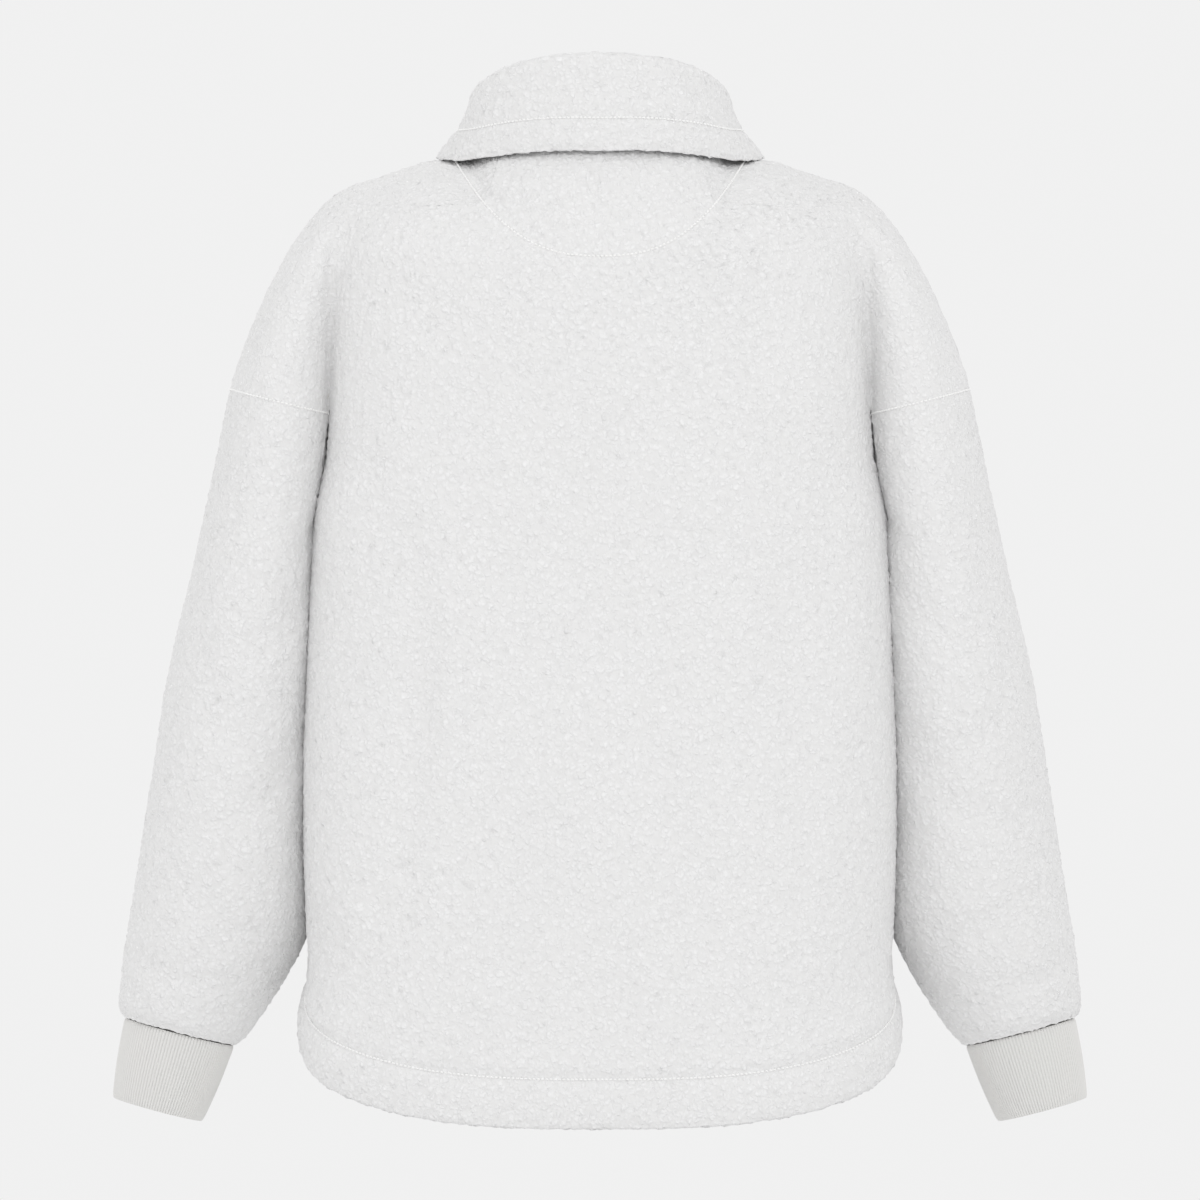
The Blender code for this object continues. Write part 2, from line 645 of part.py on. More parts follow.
def body_cloth():
    """Back, front, neck patch and sleeves as one set of joined grids."""
    cloth = Cloth()
    armhole = []
    for back in (True, False):
        name = "back_panel" if back else "front_panel"
        yoke = yoke_grid(back)
        fold = yoke[-1, TORSO_COLUMNS]
        down = np.linspace(1, 0, SIDE_COLUMNS + 1)[1:]
        crotch = np.stack([
            fold[0] - CROTCH_DRAW * np.sin((1 - down) * math.pi / 2),
            fold[1] * down,
            fold[2] + (UNDERARM_Z - fold[2]) * np.sin((1 - down) * math.pi / 2),
        ], axis=-1)
        torso = torso_grid(back, np.concatenate([yoke[-1, : TORSO_COLUMNS + 1], crotch]))
        if not back:
            slit = open_slit(yoke, torso)
        for side in (1, -1):
            flip = (side > 0) == back
            half_yoke = yoke if side > 0 else mirrored(yoke)
            half_torso = torso if side > 0 else mirrored(torso)
            if back:
                cloth.add("neck_patch", half_yoke[:PATCH_ROWS], flip)
                cloth.add(name, half_yoke[PATCH_ROWS - 1 :], flip)
            else:
                cloth.add(name, half_yoke, flip)
            cloth.add(name, half_torso, flip)
        lobe = yoke[-1, TORSO_COLUMNS:][::-1]
        armhole.append(np.concatenate([lobe, crotch]))
    loop = np.concatenate([armhole[0], armhole[1][::-1][1:]])
    sleeve = sleeve_grid(loop)
    cloth.add("sleeve_left", sleeve, False)
    cloth.add("sleeve_right", mirrored(sleeve), True)
    cloth.join()
    return cloth, slit


def open_slit(yoke, torso):
    """Parts the centre front down to the zip's end, and gives the slit's edge and the points beside it.

    Both end at the first row below, where the slit has closed.
    """
    for grid in (yoke, torso):
        grid[grid[:, 0, 2] > ZIP_END_Z, 0, 0] = SLIT_HALF_WIDTH
    edge = np.concatenate([yoke[:, 0], torso[1:, 0]])
    beside = np.concatenate([yoke[:, 1], torso[1:, 1]])
    rows = np.count_nonzero(edge[:, 0] > 0) + 1
    return edge[:rows], beside[:rows]


for old in list(bpy.data.objects):
    bpy.data.objects.remove(old)
collection = bpy.data.collections.new("zip_neck_pullover")
helpers = bpy.data.collections.new("cutters")
for group in (collection, helpers):
    bpy.context.scene.collection.children.link(group)

body, slit = body_cloth()
for piece in ("back_panel", "front_panel", "neck_patch", "sleeve_left", "sleeve_right"):
    body.solid(piece, PILE_WALL, "pile_fleece")

neck_band = Cloth()
neck_band.add("collar", collar_grid(), True)
neck_band.add("collar", mirrored(collar_grid()), False)
neck_band.join()
neck_band.solid("collar", PILE_WALL, "pile_fleece")

for name, side in (("left", 1), ("right", -1)):
    cuff(f"cuff_{name}", side)
    zip_tape(f"zip_tape_{name}", side, *slit)
zip_hardware()
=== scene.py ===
"""Looks of a zip-neck pullover in white curly pile fleece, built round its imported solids.

Metres, +Z up. The origin is the middle of the neck opening. The front faces -Y and +X is the
wearer's left. The camera stands behind the garment, at +Y. Shape tables are in centimetres.
"""

import json
import math

import bpy
import numpy as np
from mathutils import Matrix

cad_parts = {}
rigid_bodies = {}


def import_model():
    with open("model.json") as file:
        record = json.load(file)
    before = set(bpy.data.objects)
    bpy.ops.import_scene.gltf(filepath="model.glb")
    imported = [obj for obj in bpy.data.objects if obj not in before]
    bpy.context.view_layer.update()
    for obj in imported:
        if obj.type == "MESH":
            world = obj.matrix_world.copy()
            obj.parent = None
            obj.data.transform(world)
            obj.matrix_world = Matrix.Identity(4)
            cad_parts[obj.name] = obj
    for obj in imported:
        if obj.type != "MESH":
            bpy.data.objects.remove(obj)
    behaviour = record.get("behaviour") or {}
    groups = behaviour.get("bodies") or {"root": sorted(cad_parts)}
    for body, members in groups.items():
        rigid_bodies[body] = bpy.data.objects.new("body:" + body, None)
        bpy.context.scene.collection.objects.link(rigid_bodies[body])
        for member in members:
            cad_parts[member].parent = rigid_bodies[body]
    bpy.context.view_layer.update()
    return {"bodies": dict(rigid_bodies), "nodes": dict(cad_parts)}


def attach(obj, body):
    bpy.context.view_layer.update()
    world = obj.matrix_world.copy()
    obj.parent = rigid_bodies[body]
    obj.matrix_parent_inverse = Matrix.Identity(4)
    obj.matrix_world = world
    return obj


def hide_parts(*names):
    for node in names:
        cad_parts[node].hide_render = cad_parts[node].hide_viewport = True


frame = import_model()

bl_info = {
    "name": "Zip-neck pullover",
    "version": (1, 0, 0),
    "blender": (4, 5, 0),
    "location": "View3D > Sidebar > Pullover",
    "description": "Builds the pile, ribs, zip and stitching of a zip-neck pullover",
    "category": "Object",
}

CM = 0.01
GARMENT = "garment"
SIDES = (("left", 1), ("right", -1))

# Neck opening and torso, in centimetres
NECK_HALF_WIDTH = 9.0
NECK_BACK_DEPTH = 6.6
NECK_FRONT_DEPTH = 8.6
NECK_BACK_Z = 1.2
NECK_SIDE_Z = -0.10
NECK_FRONT_Z = -7.5
ROW_BEND = 2.6
SHOULDER_HALF_WIDTH = 19.6
BOXINESS = 2.9
UNDERARM_Z = -19.2
BACK_ROUNDS_FROM = -9.0
FRONT_ROUNDS_FROM = -18.0
HEM_SIDE_Z = -62.2
HEM_BACK_Z = -69.4
HEM_FRONT_Z = -67.0
HEM_CURVE = 2.9
PATCH_STEP = 0.14
# Columns are spaced evenly on sections of these sizes
EVEN_Z = -45.0
EVEN_DEPTH = 11.7
EVEN_LOBE_WIDTH = 7.2
EVEN_LOBE_DEPTH = 7.0
# The neck's corner is softened over this distance
SOFT_REACH = 1.3
SOFT_PASSES = 90
# Share of the way down to the hem band that the torso's steps take, and the step that ends the blend
STEPS_END = 0.93
BLEND_ENDS = 0.14

# Zip, in centimetres
SLIT_HALF_WIDTH = 0.55
SLIT_NARROWS_Z = -26.9
SLIT_ENDS_Z = -28.2
SLIT_REACH = 1.6
STITCH_FROM_SLIT = 0.28
SLIT_STITCH_TOP_Z = NECK_FRONT_Z - 0.3
SLIT_STITCH_END_Z = SLIT_ENDS_Z - 0.25
# The front's slope is measured this far above and below
SLOPE_STEP = 0.2
TAPE_HALF_WIDTH = 1.45
TAPE_NEAR = 0.02
TAPE_TOP_Z = -7.62
TAPE_END_Z = -28.0
TAPE_DEPTH = 0.45
TAPE_WALL = 0.0012
TAPE_ROWS = 160
TAPE_COLUMNS = 12
# The tape's raised cord: place and half width in centimetres, rise in metres
CORD_X = 0.2
CORD_WIDTH = 0.07
CORD_RISE = 0.0003
TEETH_TOP_Z = -9.60
TEETH_END_Z = -25.40
TOOTH_SHIFT = 0.055
# A tooth's rows of corners: height, half width, half length
TOOTH_ROWS = [(0.0, 0.15, 0.056), (0.09, 0.15, 0.056), (0.13, 0.12, 0.036)]

# Collar and cuffs, in centimetres
ROLL_RADIUS = 0.72
COLLAR_LIFT = 0.05
COLLAR_HEM = 2.3
LEAF_PARTS_FROM = 140.0
LEAF_SPREAD = 14.0
COLLAR_STITCH_ROW = 9
COLLAR_COLUMNS = 60
# Angles of the points on the collar's roll, and how its fall bends outwards
ROLL_BENDS = [140, 90, 40]
FALL_BEND = 1.4
COLLAR_FALL = [
    # share of the fall, swell
    (0.0, 0.0), (0.45, 0.02), (0.88, 0.02), (1.0, -0.05),
    (1.13, 0.04), (1.5, 0.09), (1.85, 0.05), (1.97, -0.05),
]
# The collar's edge turns under: out, up
COLLAR_TURN = [(-0.06, -0.08), (-0.17, -0.09), (-0.30, 0.0), (-0.36, 0.35)]

# Grid sizes, each a whole number of lining cells
LINING_CELL = 4
TORSO_COLUMNS = 108
LOBE_COLUMNS = 52
SIDE_COLUMNS = 16
YOKE_ROWS = 80
PATCH_ROWS = 32
UPPER_ROWS = 44
LOWER_ROWS = 184
SLEEVE_COLUMNS = 176
SLEEVE_ROWS = 208
COLLAR_ROWS = 92
CUFF_ROWS = 28
POINTS_PER_RIB = 6
RIB_ROUNDNESS = 0.7
CUFF_TURN = 0.10
CUFF_TURN_REACH = (0.02, 0.035)
CUFF_WALL = 0.0016
TURNED_WALL = 0.0008
# Relief deeper than this takes the lining along
CURL_ROOM = 0.0018
SEAM_REACH = 0.0018
# A seam's hollow: its half width, how far it is looked for, and how much it flattens the curls
SEAM_WIDTH = 0.0020
SEAM_SEEN = 0.008
SEAM_FLATTENS = 0.8
COLLAR_SEAM_SHARE = 0.7
# Seam lines of more points than this are used at every second point
LONG_LINE = 60
MOON_STITCH_STEP = PATCH_STEP + 0.004
# Two layers of curls: shift, size, share and middle height
CURL_LAYERS = [(0.0, 1.0, 1.15, 0.62), (0.37, 2.3, 0.35, 0.55)]
CURL_SWAY = 0.30
WELDS_PER_METRE = 2e5
PAIRS_AT_ONCE = 4_000_000
SWAY = 0.0045
# Strength of the painted shade in the crevices between the curls
CREVICE_SHADE_SHARE = 0.32
THREAD_RADIUS = 0.00075
STITCH_GAP = 0.12
# A stitch's rings: share of its length, size and height as shares of the thread's radius
STITCH_RINGS = [(0.0, 0.35, 0.1), (0.18, 1.0, 0.7), (0.82, 1.0, 0.7), (1.0, 0.35, 0.1)]

OUTLINE = np.array([
    # half width, height of the shoulder from the neck out to the armhole seam
    (9.0, -0.10), (11.0, -0.12), (12.4, -0.22), (13.9, -0.68), (15.6, -1.27), (17.6, -1.88),
    (18.9, -2.50), (20.1, -3.55), (21.9, -5.90), (23.6, -8.80), (24.9, -11.7), (26.0, -14.5),
    (26.6, -16.4),
])
YOKE = np.array([
    # step, back z, front z, fold x, back fold z, front fold z, end x
    (0.00, 1.2, -7.5, 7.2, 0.472, -3.357, 9.0),
    (0.14, -7.3, -9.2, 8.3, -3.40, -4.80, 10.4),
    (0.30, -9.0, -10.8, 11.5, -3.60, -5.00, 13.4),
    (0.45, -10.8, -12.4, 14.8, -3.80, -4.80, 16.6),
    (0.60, -12.6, -13.9, 17.4, -4.80, -5.20, 19.5),
    (0.75, -14.4, -15.3, 18.4, -8.40, -8.60, 22.6),
    (0.88, -16.4, -16.8, 19.0, -13.2, -13.2, 25.0),
    (1.00, -18.4, -18.4, 19.4, -18.2, -18.2, 26.6),
])
TORSO = np.array([
    # height, half width, back depth, front depth
    (-70.0, 21.5, 12.3, 12.6),
    (-65.5, 21.7, 12.4, 12.8),
    (-62.0, 21.6, 12.3, 12.8),
    (-58.0, 21.0, 12.1, 12.7),
    (-54.0, 21.2, 12.0, 12.8),
    (-46.0, 21.4, 11.8, 12.9),
    (-38.0, 21.3, 11.6, 13.0),
    (-30.0, 21.0, 11.6, 13.0),
    (-24.0, 20.6, 11.7, 12.9),
    (-18.4, 19.6, 11.7, 12.7),
    (0.0, 19.6, 11.3, 12.4),
])
# Share of the half width where the side seam's columns begin
WIDEST_SHARE = 0.99
TORSO_STEPS = [0.0, 0.07, 0.165, 0.19, 0.30, 0.43, 0.57, 0.71, 0.82]
HEM_ROWS = [5.2, 4.3, 3.6, 2.9, 1.4, 0.35, 0.0]
HEM_SWELL = [0.0, 0.05, -0.12, 0.08, 0.16, 0.03, -0.16]
HEM_STITCH = 3.6
# The hem turns under: height above the edge, swell
HEM_TURN = [(0.07, -0.38), (0.45, -0.44)]
LOBE = np.array([
    # height, inner edge, back depth, front depth
    (-18.4, 18.9, 7.0, 7.6),
    (-14.0, 18.6, 7.0, 7.6),
    (-9.0, 18.0, 6.7, 7.2),
    (-6.0, 17.3, 5.9, 6.3),
    (-4.0, 16.4, 4.5, 4.8),
    (-3.0, 15.6, 2.9, 3.0),
    (-2.0, 15.0, 0.0, 0.0),
])
SLEEVE = np.array([
    # centre x, centre y, centre z, tilt, half width, half depth
    (23.66, -0.30, -23.5, 13.0, 4.30, 7.40),
    (24.50, -0.55, -30.0, 11.0, 4.86, 7.45),
    (25.61, -1.00, -38.0, 11.0, 5.60, 7.20),
    (26.41, -1.70, -46.0, 11.0, 6.10, 6.90),
    (27.26, -2.50, -54.0, 12.0, 6.52, 6.45),
    (28.75, -3.10, -58.5, 13.0, 5.80, 5.85),
    (29.75, -3.35, -61.1, 14.0, 5.10, 5.20),
    (30.22, -3.45, -62.3, 14.0, 4.70, 4.80),
    (30.40, -3.50, -62.95, 14.5, 4.18, 4.22),
])
SLEEVE_BLEND = [0.35, 0.75, 1.0, 1.0, 1.0, 1.0, 1.0, 1.0, 1.0]
CUFF = np.array([
    # centre x, centre y, centre z, tilt, radius
    (30.40, -3.50, -63.00, 14.5, 4.10),
    (31.15, -3.90, -65.60, 15.0, 3.86),
    (32.02, -4.32, -68.65, 15.0, 3.40),
])
COLLAR = np.array([
    # angle from the centre back, roll out, roll up, edge out, edge up
    (0.0, 0.88, 6.10, 1.60, -0.98),
    (30.0, 0.78, 5.88, 1.75, -0.84),
    (45.0, 0.58, 5.66, 1.95, -0.76),
    (60.0, 0.28, 5.32, 2.30, -0.62),
    (75.0, -0.04, 4.96, 2.60, -0.22),
    (90.0, -0.30, 4.66, 2.85, 0.12),
    (120.0, -0.10, 4.45, 3.00, 1.20),
    (150.0, 0.30, 4.05, 2.95, 0.70),
    (175.0, 0.60, 3.60, 2.60, 0.00),
])

# Soft creases laid in one by one: a line of (across, height) points in centimetres, width, depth
BACK_CREASES = [
    ([(13.4, -27.0), (12.6, -34.0), (12.9, -42.0), (14.2, -50.0), (15.6, -56.0)], 1.4, -0.55),
    ([(11.2, -29.0), (10.6, -36.0), (11.0, -45.0), (12.0, -52.0)], 1.6, 0.32),
    ([(-14.2, -24.0), (-13.6, -33.0), (-14.4, -43.0), (-15.8, -52.0)], 1.8, -0.24),
    ([(-17.3, -20.5), (-16.2, -27.0), (-16.4, -34.0)], 1.5, -0.26),
    ([(17.2, -20.5), (15.9, -25.0), (14.8, -29.0)], 1.5, -0.26),
    ([(4.0, -50.0), (2.2, -57.0), (1.0, -63.0)], 2.4, -0.16),
    ([(-6.0, -44.0), (-7.4, -53.0), (-8.0, -61.0)], 2.6, -0.16),
    ([(16.0, -7.5), (12.5, -11.0), (9.5, -15.5)], 2.2, -0.16),
    ([(-15.5, -7.8), (-12.6, -11.6), (-10.2, -16.5)], 2.2, -0.14),
]
FRONT_CREASES = [
    ([(17.0, -20.5), (14.6, -26.0), (13.2, -33.0), (13.6, -41.0)], 1.7, -0.34),
    ([(-17.0, -20.5), (-15.0, -26.5), (-14.0, -34.0), (-14.6, -45.0)], 1.7, -0.30),
    ([(6.0, -29.0), (7.8, -36.0), (8.4, -45.0), (7.6, -54.0)], 2.2, -0.24),
    ([(-5.0, -31.0), (-6.6, -39.0), (-6.6, -48.0)], 2.3, -0.22),
    ([(1.2, -30.0), (2.0, -40.0), (1.4, -52.0), (2.6, -60.0)], 2.4, -0.18),
    ([(14.5, -8.5), (10.5, -13.0), (6.5, -18.0)], 2.0, -0.20),
    ([(-15.0, -8.8), (-11.2, -13.6), (-7.2, -17.5)], 2.0, -0.18),
]
# On a sleeve the first number is an angle, taken as this many degrees per centimetre
DEGREES_PER_CM = 9.5
# The sleeves' places among the body's cloths, and how far the creases are turned on each
SLEEVE_TURNS = ((3, 0.0), (4, 11.0))
SLEEVE_CREASES = [
    # (angle from the outer side towards the back, height)
    ([(200.0, -21.5), (150.0, -26.0), (110.0, -29.5)], 1.3, -0.30),
    ([(165.0, -27.0), (120.0, -33.0), (80.0, -37.0)], 1.6, -0.24),
    ([(40.0, -33.0), (75.0, -40.5), (120.0, -44.5)], 1.5, -0.26),
    ([(150.0, -40.0), (118.0, -46.0), (70.0, -49.0)], 1.4, -0.26),
    ([(60.0, -52.0), (100.0, -55.5), (140.0, -56.5)], 1.1, -0.26),
    ([(30.0, -57.0), (70.0, -59.0), (110.0, -59.6)], 0.8, -0.22),
    ([(250.0, -26.0), (285.0, -32.0), (310.0, -37.0)], 1.6, -0.26),
    ([(320.0, -40.0), (285.0, -46.0), (240.0, -48.0)], 1.5, -0.28),
    ([(235.0, -52.0), (270.0, -56.0), (315.0, -57.5)], 1.1, -0.24),
]

# Stage, in metres
CAMERA_DISTANCE = 8.0
FRAME_HEIGHT = 0.864
FRAME_MIDDLE_Z = -0.318
FLOOR_Z = -1.1
FLOOR_RINGS = [0.5, 1.5, 3.0]
FLOOR_POINTS = 96
SENSOR = 36.0
LAMPS = [
    # name, place, power
    ("key_light", (-1.6, 3.4, 1.6), 26),
    ("side_light", (2.8, 2.6, 0.4), 12),
    ("front_light", (0.8, -3.6, 1.4), 26),
]
LAMP_SIZE = 2.4
LAMPS_AIM_Z = -0.35


class PulloverSettings(bpy.types.PropertyGroup):
    """Sizes and colours of the pullover's finish."""

    curl_size: bpy.props.FloatProperty(
        name="Curl size", description="Distance between the pile's curls",
        default=0.0043, min=0.002, max=0.01, unit="LENGTH", precision=4)
    curl_relief: bpy.props.FloatProperty(
        name="Curl relief", description="Depth between the pile's curls",
        default=0.0019, min=0.0, max=0.003, unit="LENGTH", precision=4)
    seam_depth: bpy.props.FloatProperty(
        name="Seam depth", description="Depth that a seam draws the pile in",
        default=0.0005, min=0.0, max=0.003, unit="LENGTH", precision=4)
    crease_share: bpy.props.FloatProperty(
        name="Crease depth", description="Depth of the soft creases against the drawn ones",
        default=1.0, min=0.0, max=1.5, subtype="FACTOR")
    wall: bpy.props.FloatProperty(
        name="Cloth thickness", description="Thickness of the knit with its pile",
        default=0.004, min=0.003, max=0.006, unit="LENGTH", precision=4)
    ribs: bpy.props.IntProperty(
        name="Cuff ribs", description="Number of ribs round each cuff", default=104, min=40, max=140)
    rib_rise: bpy.props.FloatProperty(
        name="Rib rise", description="Height of the cuffs' ribs",
        default=0.0011, min=0.0003, max=0.0015, unit="LENGTH", precision=4)
    stitch_length: bpy.props.FloatProperty(
        name="Stitch length", description="Length of one topstitch",
        default=0.0030, min=0.002, max=0.005, unit="LENGTH", precision=4)
    tooth_pitch: bpy.props.FloatProperty(
        name="Tooth pitch", description="Distance between two teeth on one tape",
        default=0.0026, min=0.002, max=0.004, unit="LENGTH", precision=4)
    pile_colour: bpy.props.FloatVectorProperty(
        name="Pile colour", description="Colour of the pile's tips", subtype="COLOR", size=3,
        default=(0.888, 0.886, 0.889), min=0.0, max=1.0)
    rib_colour: bpy.props.FloatVectorProperty(
        name="Rib colour", description="Colour of the cuffs' knit", subtype="COLOR", size=3,
        default=(0.76, 0.755, 0.74), min=0.0, max=1.0)
    thread_colour: bpy.props.FloatVectorProperty(
        name="Thread colour", description="Colour of the sewing thread", subtype="COLOR", size=3,
        default=(0.97, 0.968, 0.962), min=0.0, max=1.0)
    floor_colour: bpy.props.FloatVectorProperty(
        name="Floor colour", description="Colour of the studio's floor and back wall", subtype="COLOR",
        size=3, default=(0.876, 0.876, 0.876), min=0.0, max=1.0)


def settings():
    return bpy.context.scene.pullover


# Shapes

def curve(at, keys, values):
    """A smooth curve through a table's points: cubic, with slopes that don't overshoot them."""
    at, keys, values = (np.asarray(a, float) for a in (at, keys, values))
    step = np.diff(values) / np.diff(keys)
    slope = np.concatenate([step[:1], np.zeros(len(keys) - 2), step[-1:]])
    both = step[:-1] * step[1:]
    same = both > 0
    slope[1:-1][same] = 2 * both[same] / (step[:-1] + step[1:])[same]
    k = np.clip(np.searchsorted(keys, at) - 1, 0, len(keys) - 2)
    width = keys[k + 1] - keys[k]
    u = np.clip((at - keys[k]) / width, 0, 1)
    rise = values[k + 1] - values[k]
    bend = slope[k] * width - rise
    other = rise - slope[k + 1] * width
    return values[k] + u * rise + u * (1 - u) * (bend * (1 - u) + other * u)


def column(table, number, at):
    return curve(at, table[:, 0], table[:, number])


def outline_points():
    """The shoulder outline as a fine polyline: both columns of its table over the point's number."""
    along = np.linspace(0, len(OUTLINE) - 1, 400)
    number = np.arange(len(OUTLINE))
    return curve(along, number, OUTLINE[:, 0]), curve(along, number, OUTLINE[:, 1])


OUTLINE_X, OUTLINE_Z = outline_points()


def outline_z(x):
    return np.interp(x, OUTLINE_X, OUTLINE_Z)


def outline_x(z):
    return np.interp(-z, -OUTLINE_Z, OUTLINE_X)


def neck_line(x, back):
    """Edge of the neck opening: a quarter ellipse on plan, its height a power of x."""
    centre = NECK_BACK_Z if back else NECK_FRONT_Z
    depth = NECK_BACK_DEPTH if back else NECK_FRONT_DEPTH
    part = np.clip(x / NECK_HALF_WIDTH, 0, 1)
    return centre + (NECK_SIDE_Z - centre) * part**ROW_BEND, depth * np.sqrt(1 - part**2)


def boxed(share):
    """A superellipse's other share."""
    return np.clip(1 - share**BOXINESS, 0, 1) ** (1 / BOXINESS)


def yoke_depth(x, z, back):
    """Depth of the yoke in front of or behind the shoulder seams.

    The torso is a superellipse that closes towards the outline at the top, the arm an
    ellipse beside it, and the sixth root of the sum of sixth powers joins them.
    """
    full = column(TORSO, 2 if back else 3, z)
    box = boxed(x / SHOULDER_HALF_WIDTH)
    neck_z, neck_y = neck_line(x, back)
    outside = x > NECK_HALF_WIDTH
    top_z = np.where(outside, outline_z(x), neck_z)
    top_y = np.where(outside, 0.0, neck_y)
    start = BACK_ROUNDS_FROM if back else FRONT_ROUNDS_FROM
    up = np.clip((z - start) / (top_z - start), 0, 1)
    power = 1 - 0.5 * np.clip(x / NECK_HALF_WIDTH, 0, 1) ** 2
    torso = top_y + (full * box - top_y) * (1 - up**2) ** power
    inner = curve(z, LOBE[:, 0], LOBE[:, 1])
    half = (outline_x(z) - inner) / 2
    across = np.clip((x - inner - half) / np.maximum(half, 0.01), -1, 1)
    arm = curve(z, LOBE[:, 0], LOBE[:, 2 if back else 3]) * np.sqrt(1 - across**2)
    return (np.maximum(torso, 0) ** 6 + arm**6) ** (1 / 6)


def summed(gaps):
    """Distance gone at each point from the gaps between them."""
    return np.concatenate([[0], np.cumsum(gaps)])


def distances(line):
    return summed(np.linalg.norm(np.diff(line, axis=0), axis=1))


def even_shares(x, y, shares, count):
    """Shares at even distances along the line of points (x, y)."""
    gone = summed(np.hypot(np.diff(x), np.diff(y)))
    return np.interp(np.linspace(0, gone[-1], count + 1), gone, shares)


def torso_shares():
    """Where the torso's columns lie, as shares of the fold's half width, even along the section."""
    shares = np.sin(np.linspace(0, math.pi / 2, 2000))
    x = SHOULDER_HALF_WIDTH * shares
    y = EVEN_DEPTH * boxed(WIDEST_SHARE * shares)
    found = even_shares(x, y, shares, TORSO_COLUMNS)
    found[-1] = 1.0
    return found


def lobe_shares():
    """Where the arm's columns lie between fold and shoulder seam, even along an ellipse."""
    turn = np.linspace(0, math.pi / 2, 2000)
    shares = np.sin(turn)
    half = EVEN_LOBE_WIDTH / 2
    x = EVEN_LOBE_WIDTH * shares
    y = EVEN_LOBE_DEPTH * np.sqrt(np.clip(1 - ((x - half) / half) ** 2, 0, 1))
    found = even_shares(x, y, shares, LOBE_COLUMNS)
    found[0], found[-1] = 0.0, 1.0
    return found


TORSO_SHARES = torso_shares()
SIDE_SHARES = np.linspace(1, 0, SIDE_COLUMNS + 1)[1:]
LOBE_SHARES = lobe_shares()


def yoke_grid(back, steps):
    """Rows from the neck to the armhole level, columns from the centre to the shoulder seam.

    A row's height is a power of x between its centre, its fold and its end, and its depth
    is yoke_depth.
    """
    steps = np.asarray(steps)[:, None]
    centre = column(YOKE, 1 if back else 2, steps)
    fold_x = column(YOKE, 3, steps)
    fold_z = column(YOKE, 4 if back else 5, steps)
    end_x = column(YOKE, 6, steps)
    end_z = outline_z(end_x)
    x_torso = fold_x * TORSO_SHARES
    z_torso = centre + (fold_z - centre) * (x_torso / fold_x) ** ROW_BEND
    x_lobe = fold_x + (end_x - fold_x) * LOBE_SHARES[1:]
    rising = (x_lobe**ROW_BEND - fold_x**ROW_BEND) / (end_x**ROW_BEND - fold_x**ROW_BEND)
    z_lobe = fold_z + (end_z - fold_z) * rising
    x = np.concatenate([x_torso, x_lobe], axis=1)
    z = np.concatenate([z_torso, z_lobe], axis=1)
    y = softened(x, yoke_depth(x, z, back), steps)
    y[:, -1] = 0
    return np.stack([x, y if back else -y, z], axis=-1)


def softened(x, y, steps):
    """Depths near the neck's corner, averaged again and again with their neighbours in the row."""
    near = 0.5 * np.exp(-(((x - NECK_HALF_WIDTH) / SOFT_REACH) ** 2)) * np.clip(steps / 0.03, 0, 1)
    near = near[:, 1:-1]
    for _ in range(SOFT_PASSES):
        middle = y[:, 1:-1]
        y[:, 1:-1] = middle + near * ((y[:, :-2] + y[:, 2:]) / 2 - middle)
    return y


def hem_height(share, back):
    """The curved hem: a power of the share gone round from the centre to the side."""
    centre = HEM_BACK_Z if back else HEM_FRONT_Z
    return centre + (HEM_SIDE_Z - centre) * share**HEM_CURVE


def torso_section(z, back):
    """One row of torso points: a superellipse from the centre to the side seam."""
    half = column(TORSO, 1, z)
    depth = column(TORSO, 2 if back else 3, z)
    split = TORSO_COLUMNS + 1
    shares = TORSO_SHARES * WIDEST_SHARE
    x = half[:split] * shares
    y = depth[:split] * boxed(shares)
    y_side = depth[split:] * boxed(shares[-1]) * SIDE_SHARES
    x_side = half[split:] * boxed(y_side / depth[split:])
    x, y = np.concatenate([x, x_side]), np.concatenate([y, y_side])
    return np.stack([x, y if back else -y, z], axis=-1)


def torso_controls(back, top):
    """Main rows from the armhole level to the turned hem: sections that blend in from the given row."""
    flat = torso_section(np.full(len(top), EVEN_Z), back)
    gone = distances(flat)
    hem = hem_height(gone / gone[-1], back)
    band_top = hem + HEM_ROWS[0]
    rows = [top]
    for step in TORSO_STEPS[1:]:
        z = top[:, 2] + (band_top - top[:, 2]) * step / TORSO_STEPS[-1] * STEPS_END
        row = torso_section(z, back)
        blend = min(1.0, step / BLEND_ENDS)
        row[:, :2] = top[:, :2] + (row[:, :2] - top[:, :2]) * blend
        rows.append(row)
    for above, swell in [*zip(HEM_ROWS, HEM_SWELL), *HEM_TURN]:
        row = torso_section(hem + above, back)
        out = row[:, :2] / np.linalg.norm(row[:, :2], axis=1)[:, None]
        row[:, :2] += out * swell
        row[-1, 1] = 0
        row[0, 0] = 0
        rows.append(row)
    return np.array(rows)


def through(rows, at):
    """Rows between main rows: cubic in the mean distance between them, with weighted mean slopes.

    at holds distances as shares of the whole.
    """
    rows = np.asarray(rows, float)
    gaps = np.linalg.norm(np.diff(rows, axis=0), axis=-1).mean(axis=1)
    keys = summed(gaps)
    wide = gaps[:, None, None]
    step = np.diff(rows, axis=0) / wide
    slope = np.concatenate([
        step[:1],
        (step[:-1] * wide[1:] + step[1:] * wide[:-1]) / (wide[1:] + wide[:-1]),
        step[-1:],
    ])
    place = np.asarray(at) * keys[-1]
    k = np.clip(np.searchsorted(keys, place) - 1, 0, len(keys) - 2)
    u = np.clip((place - keys[k]) / gaps[k], 0, 1)[:, None, None]
    width = gaps[k][:, None, None]
    return (
        rows[k] * (1 + 2 * u) * (1 - u) ** 2 + rows[k + 1] * u**2 * (3 - 2 * u)
        + slope[k] * width * u * (1 - u) ** 2 - slope[k + 1] * width * u**2 * (1 - u)
    )


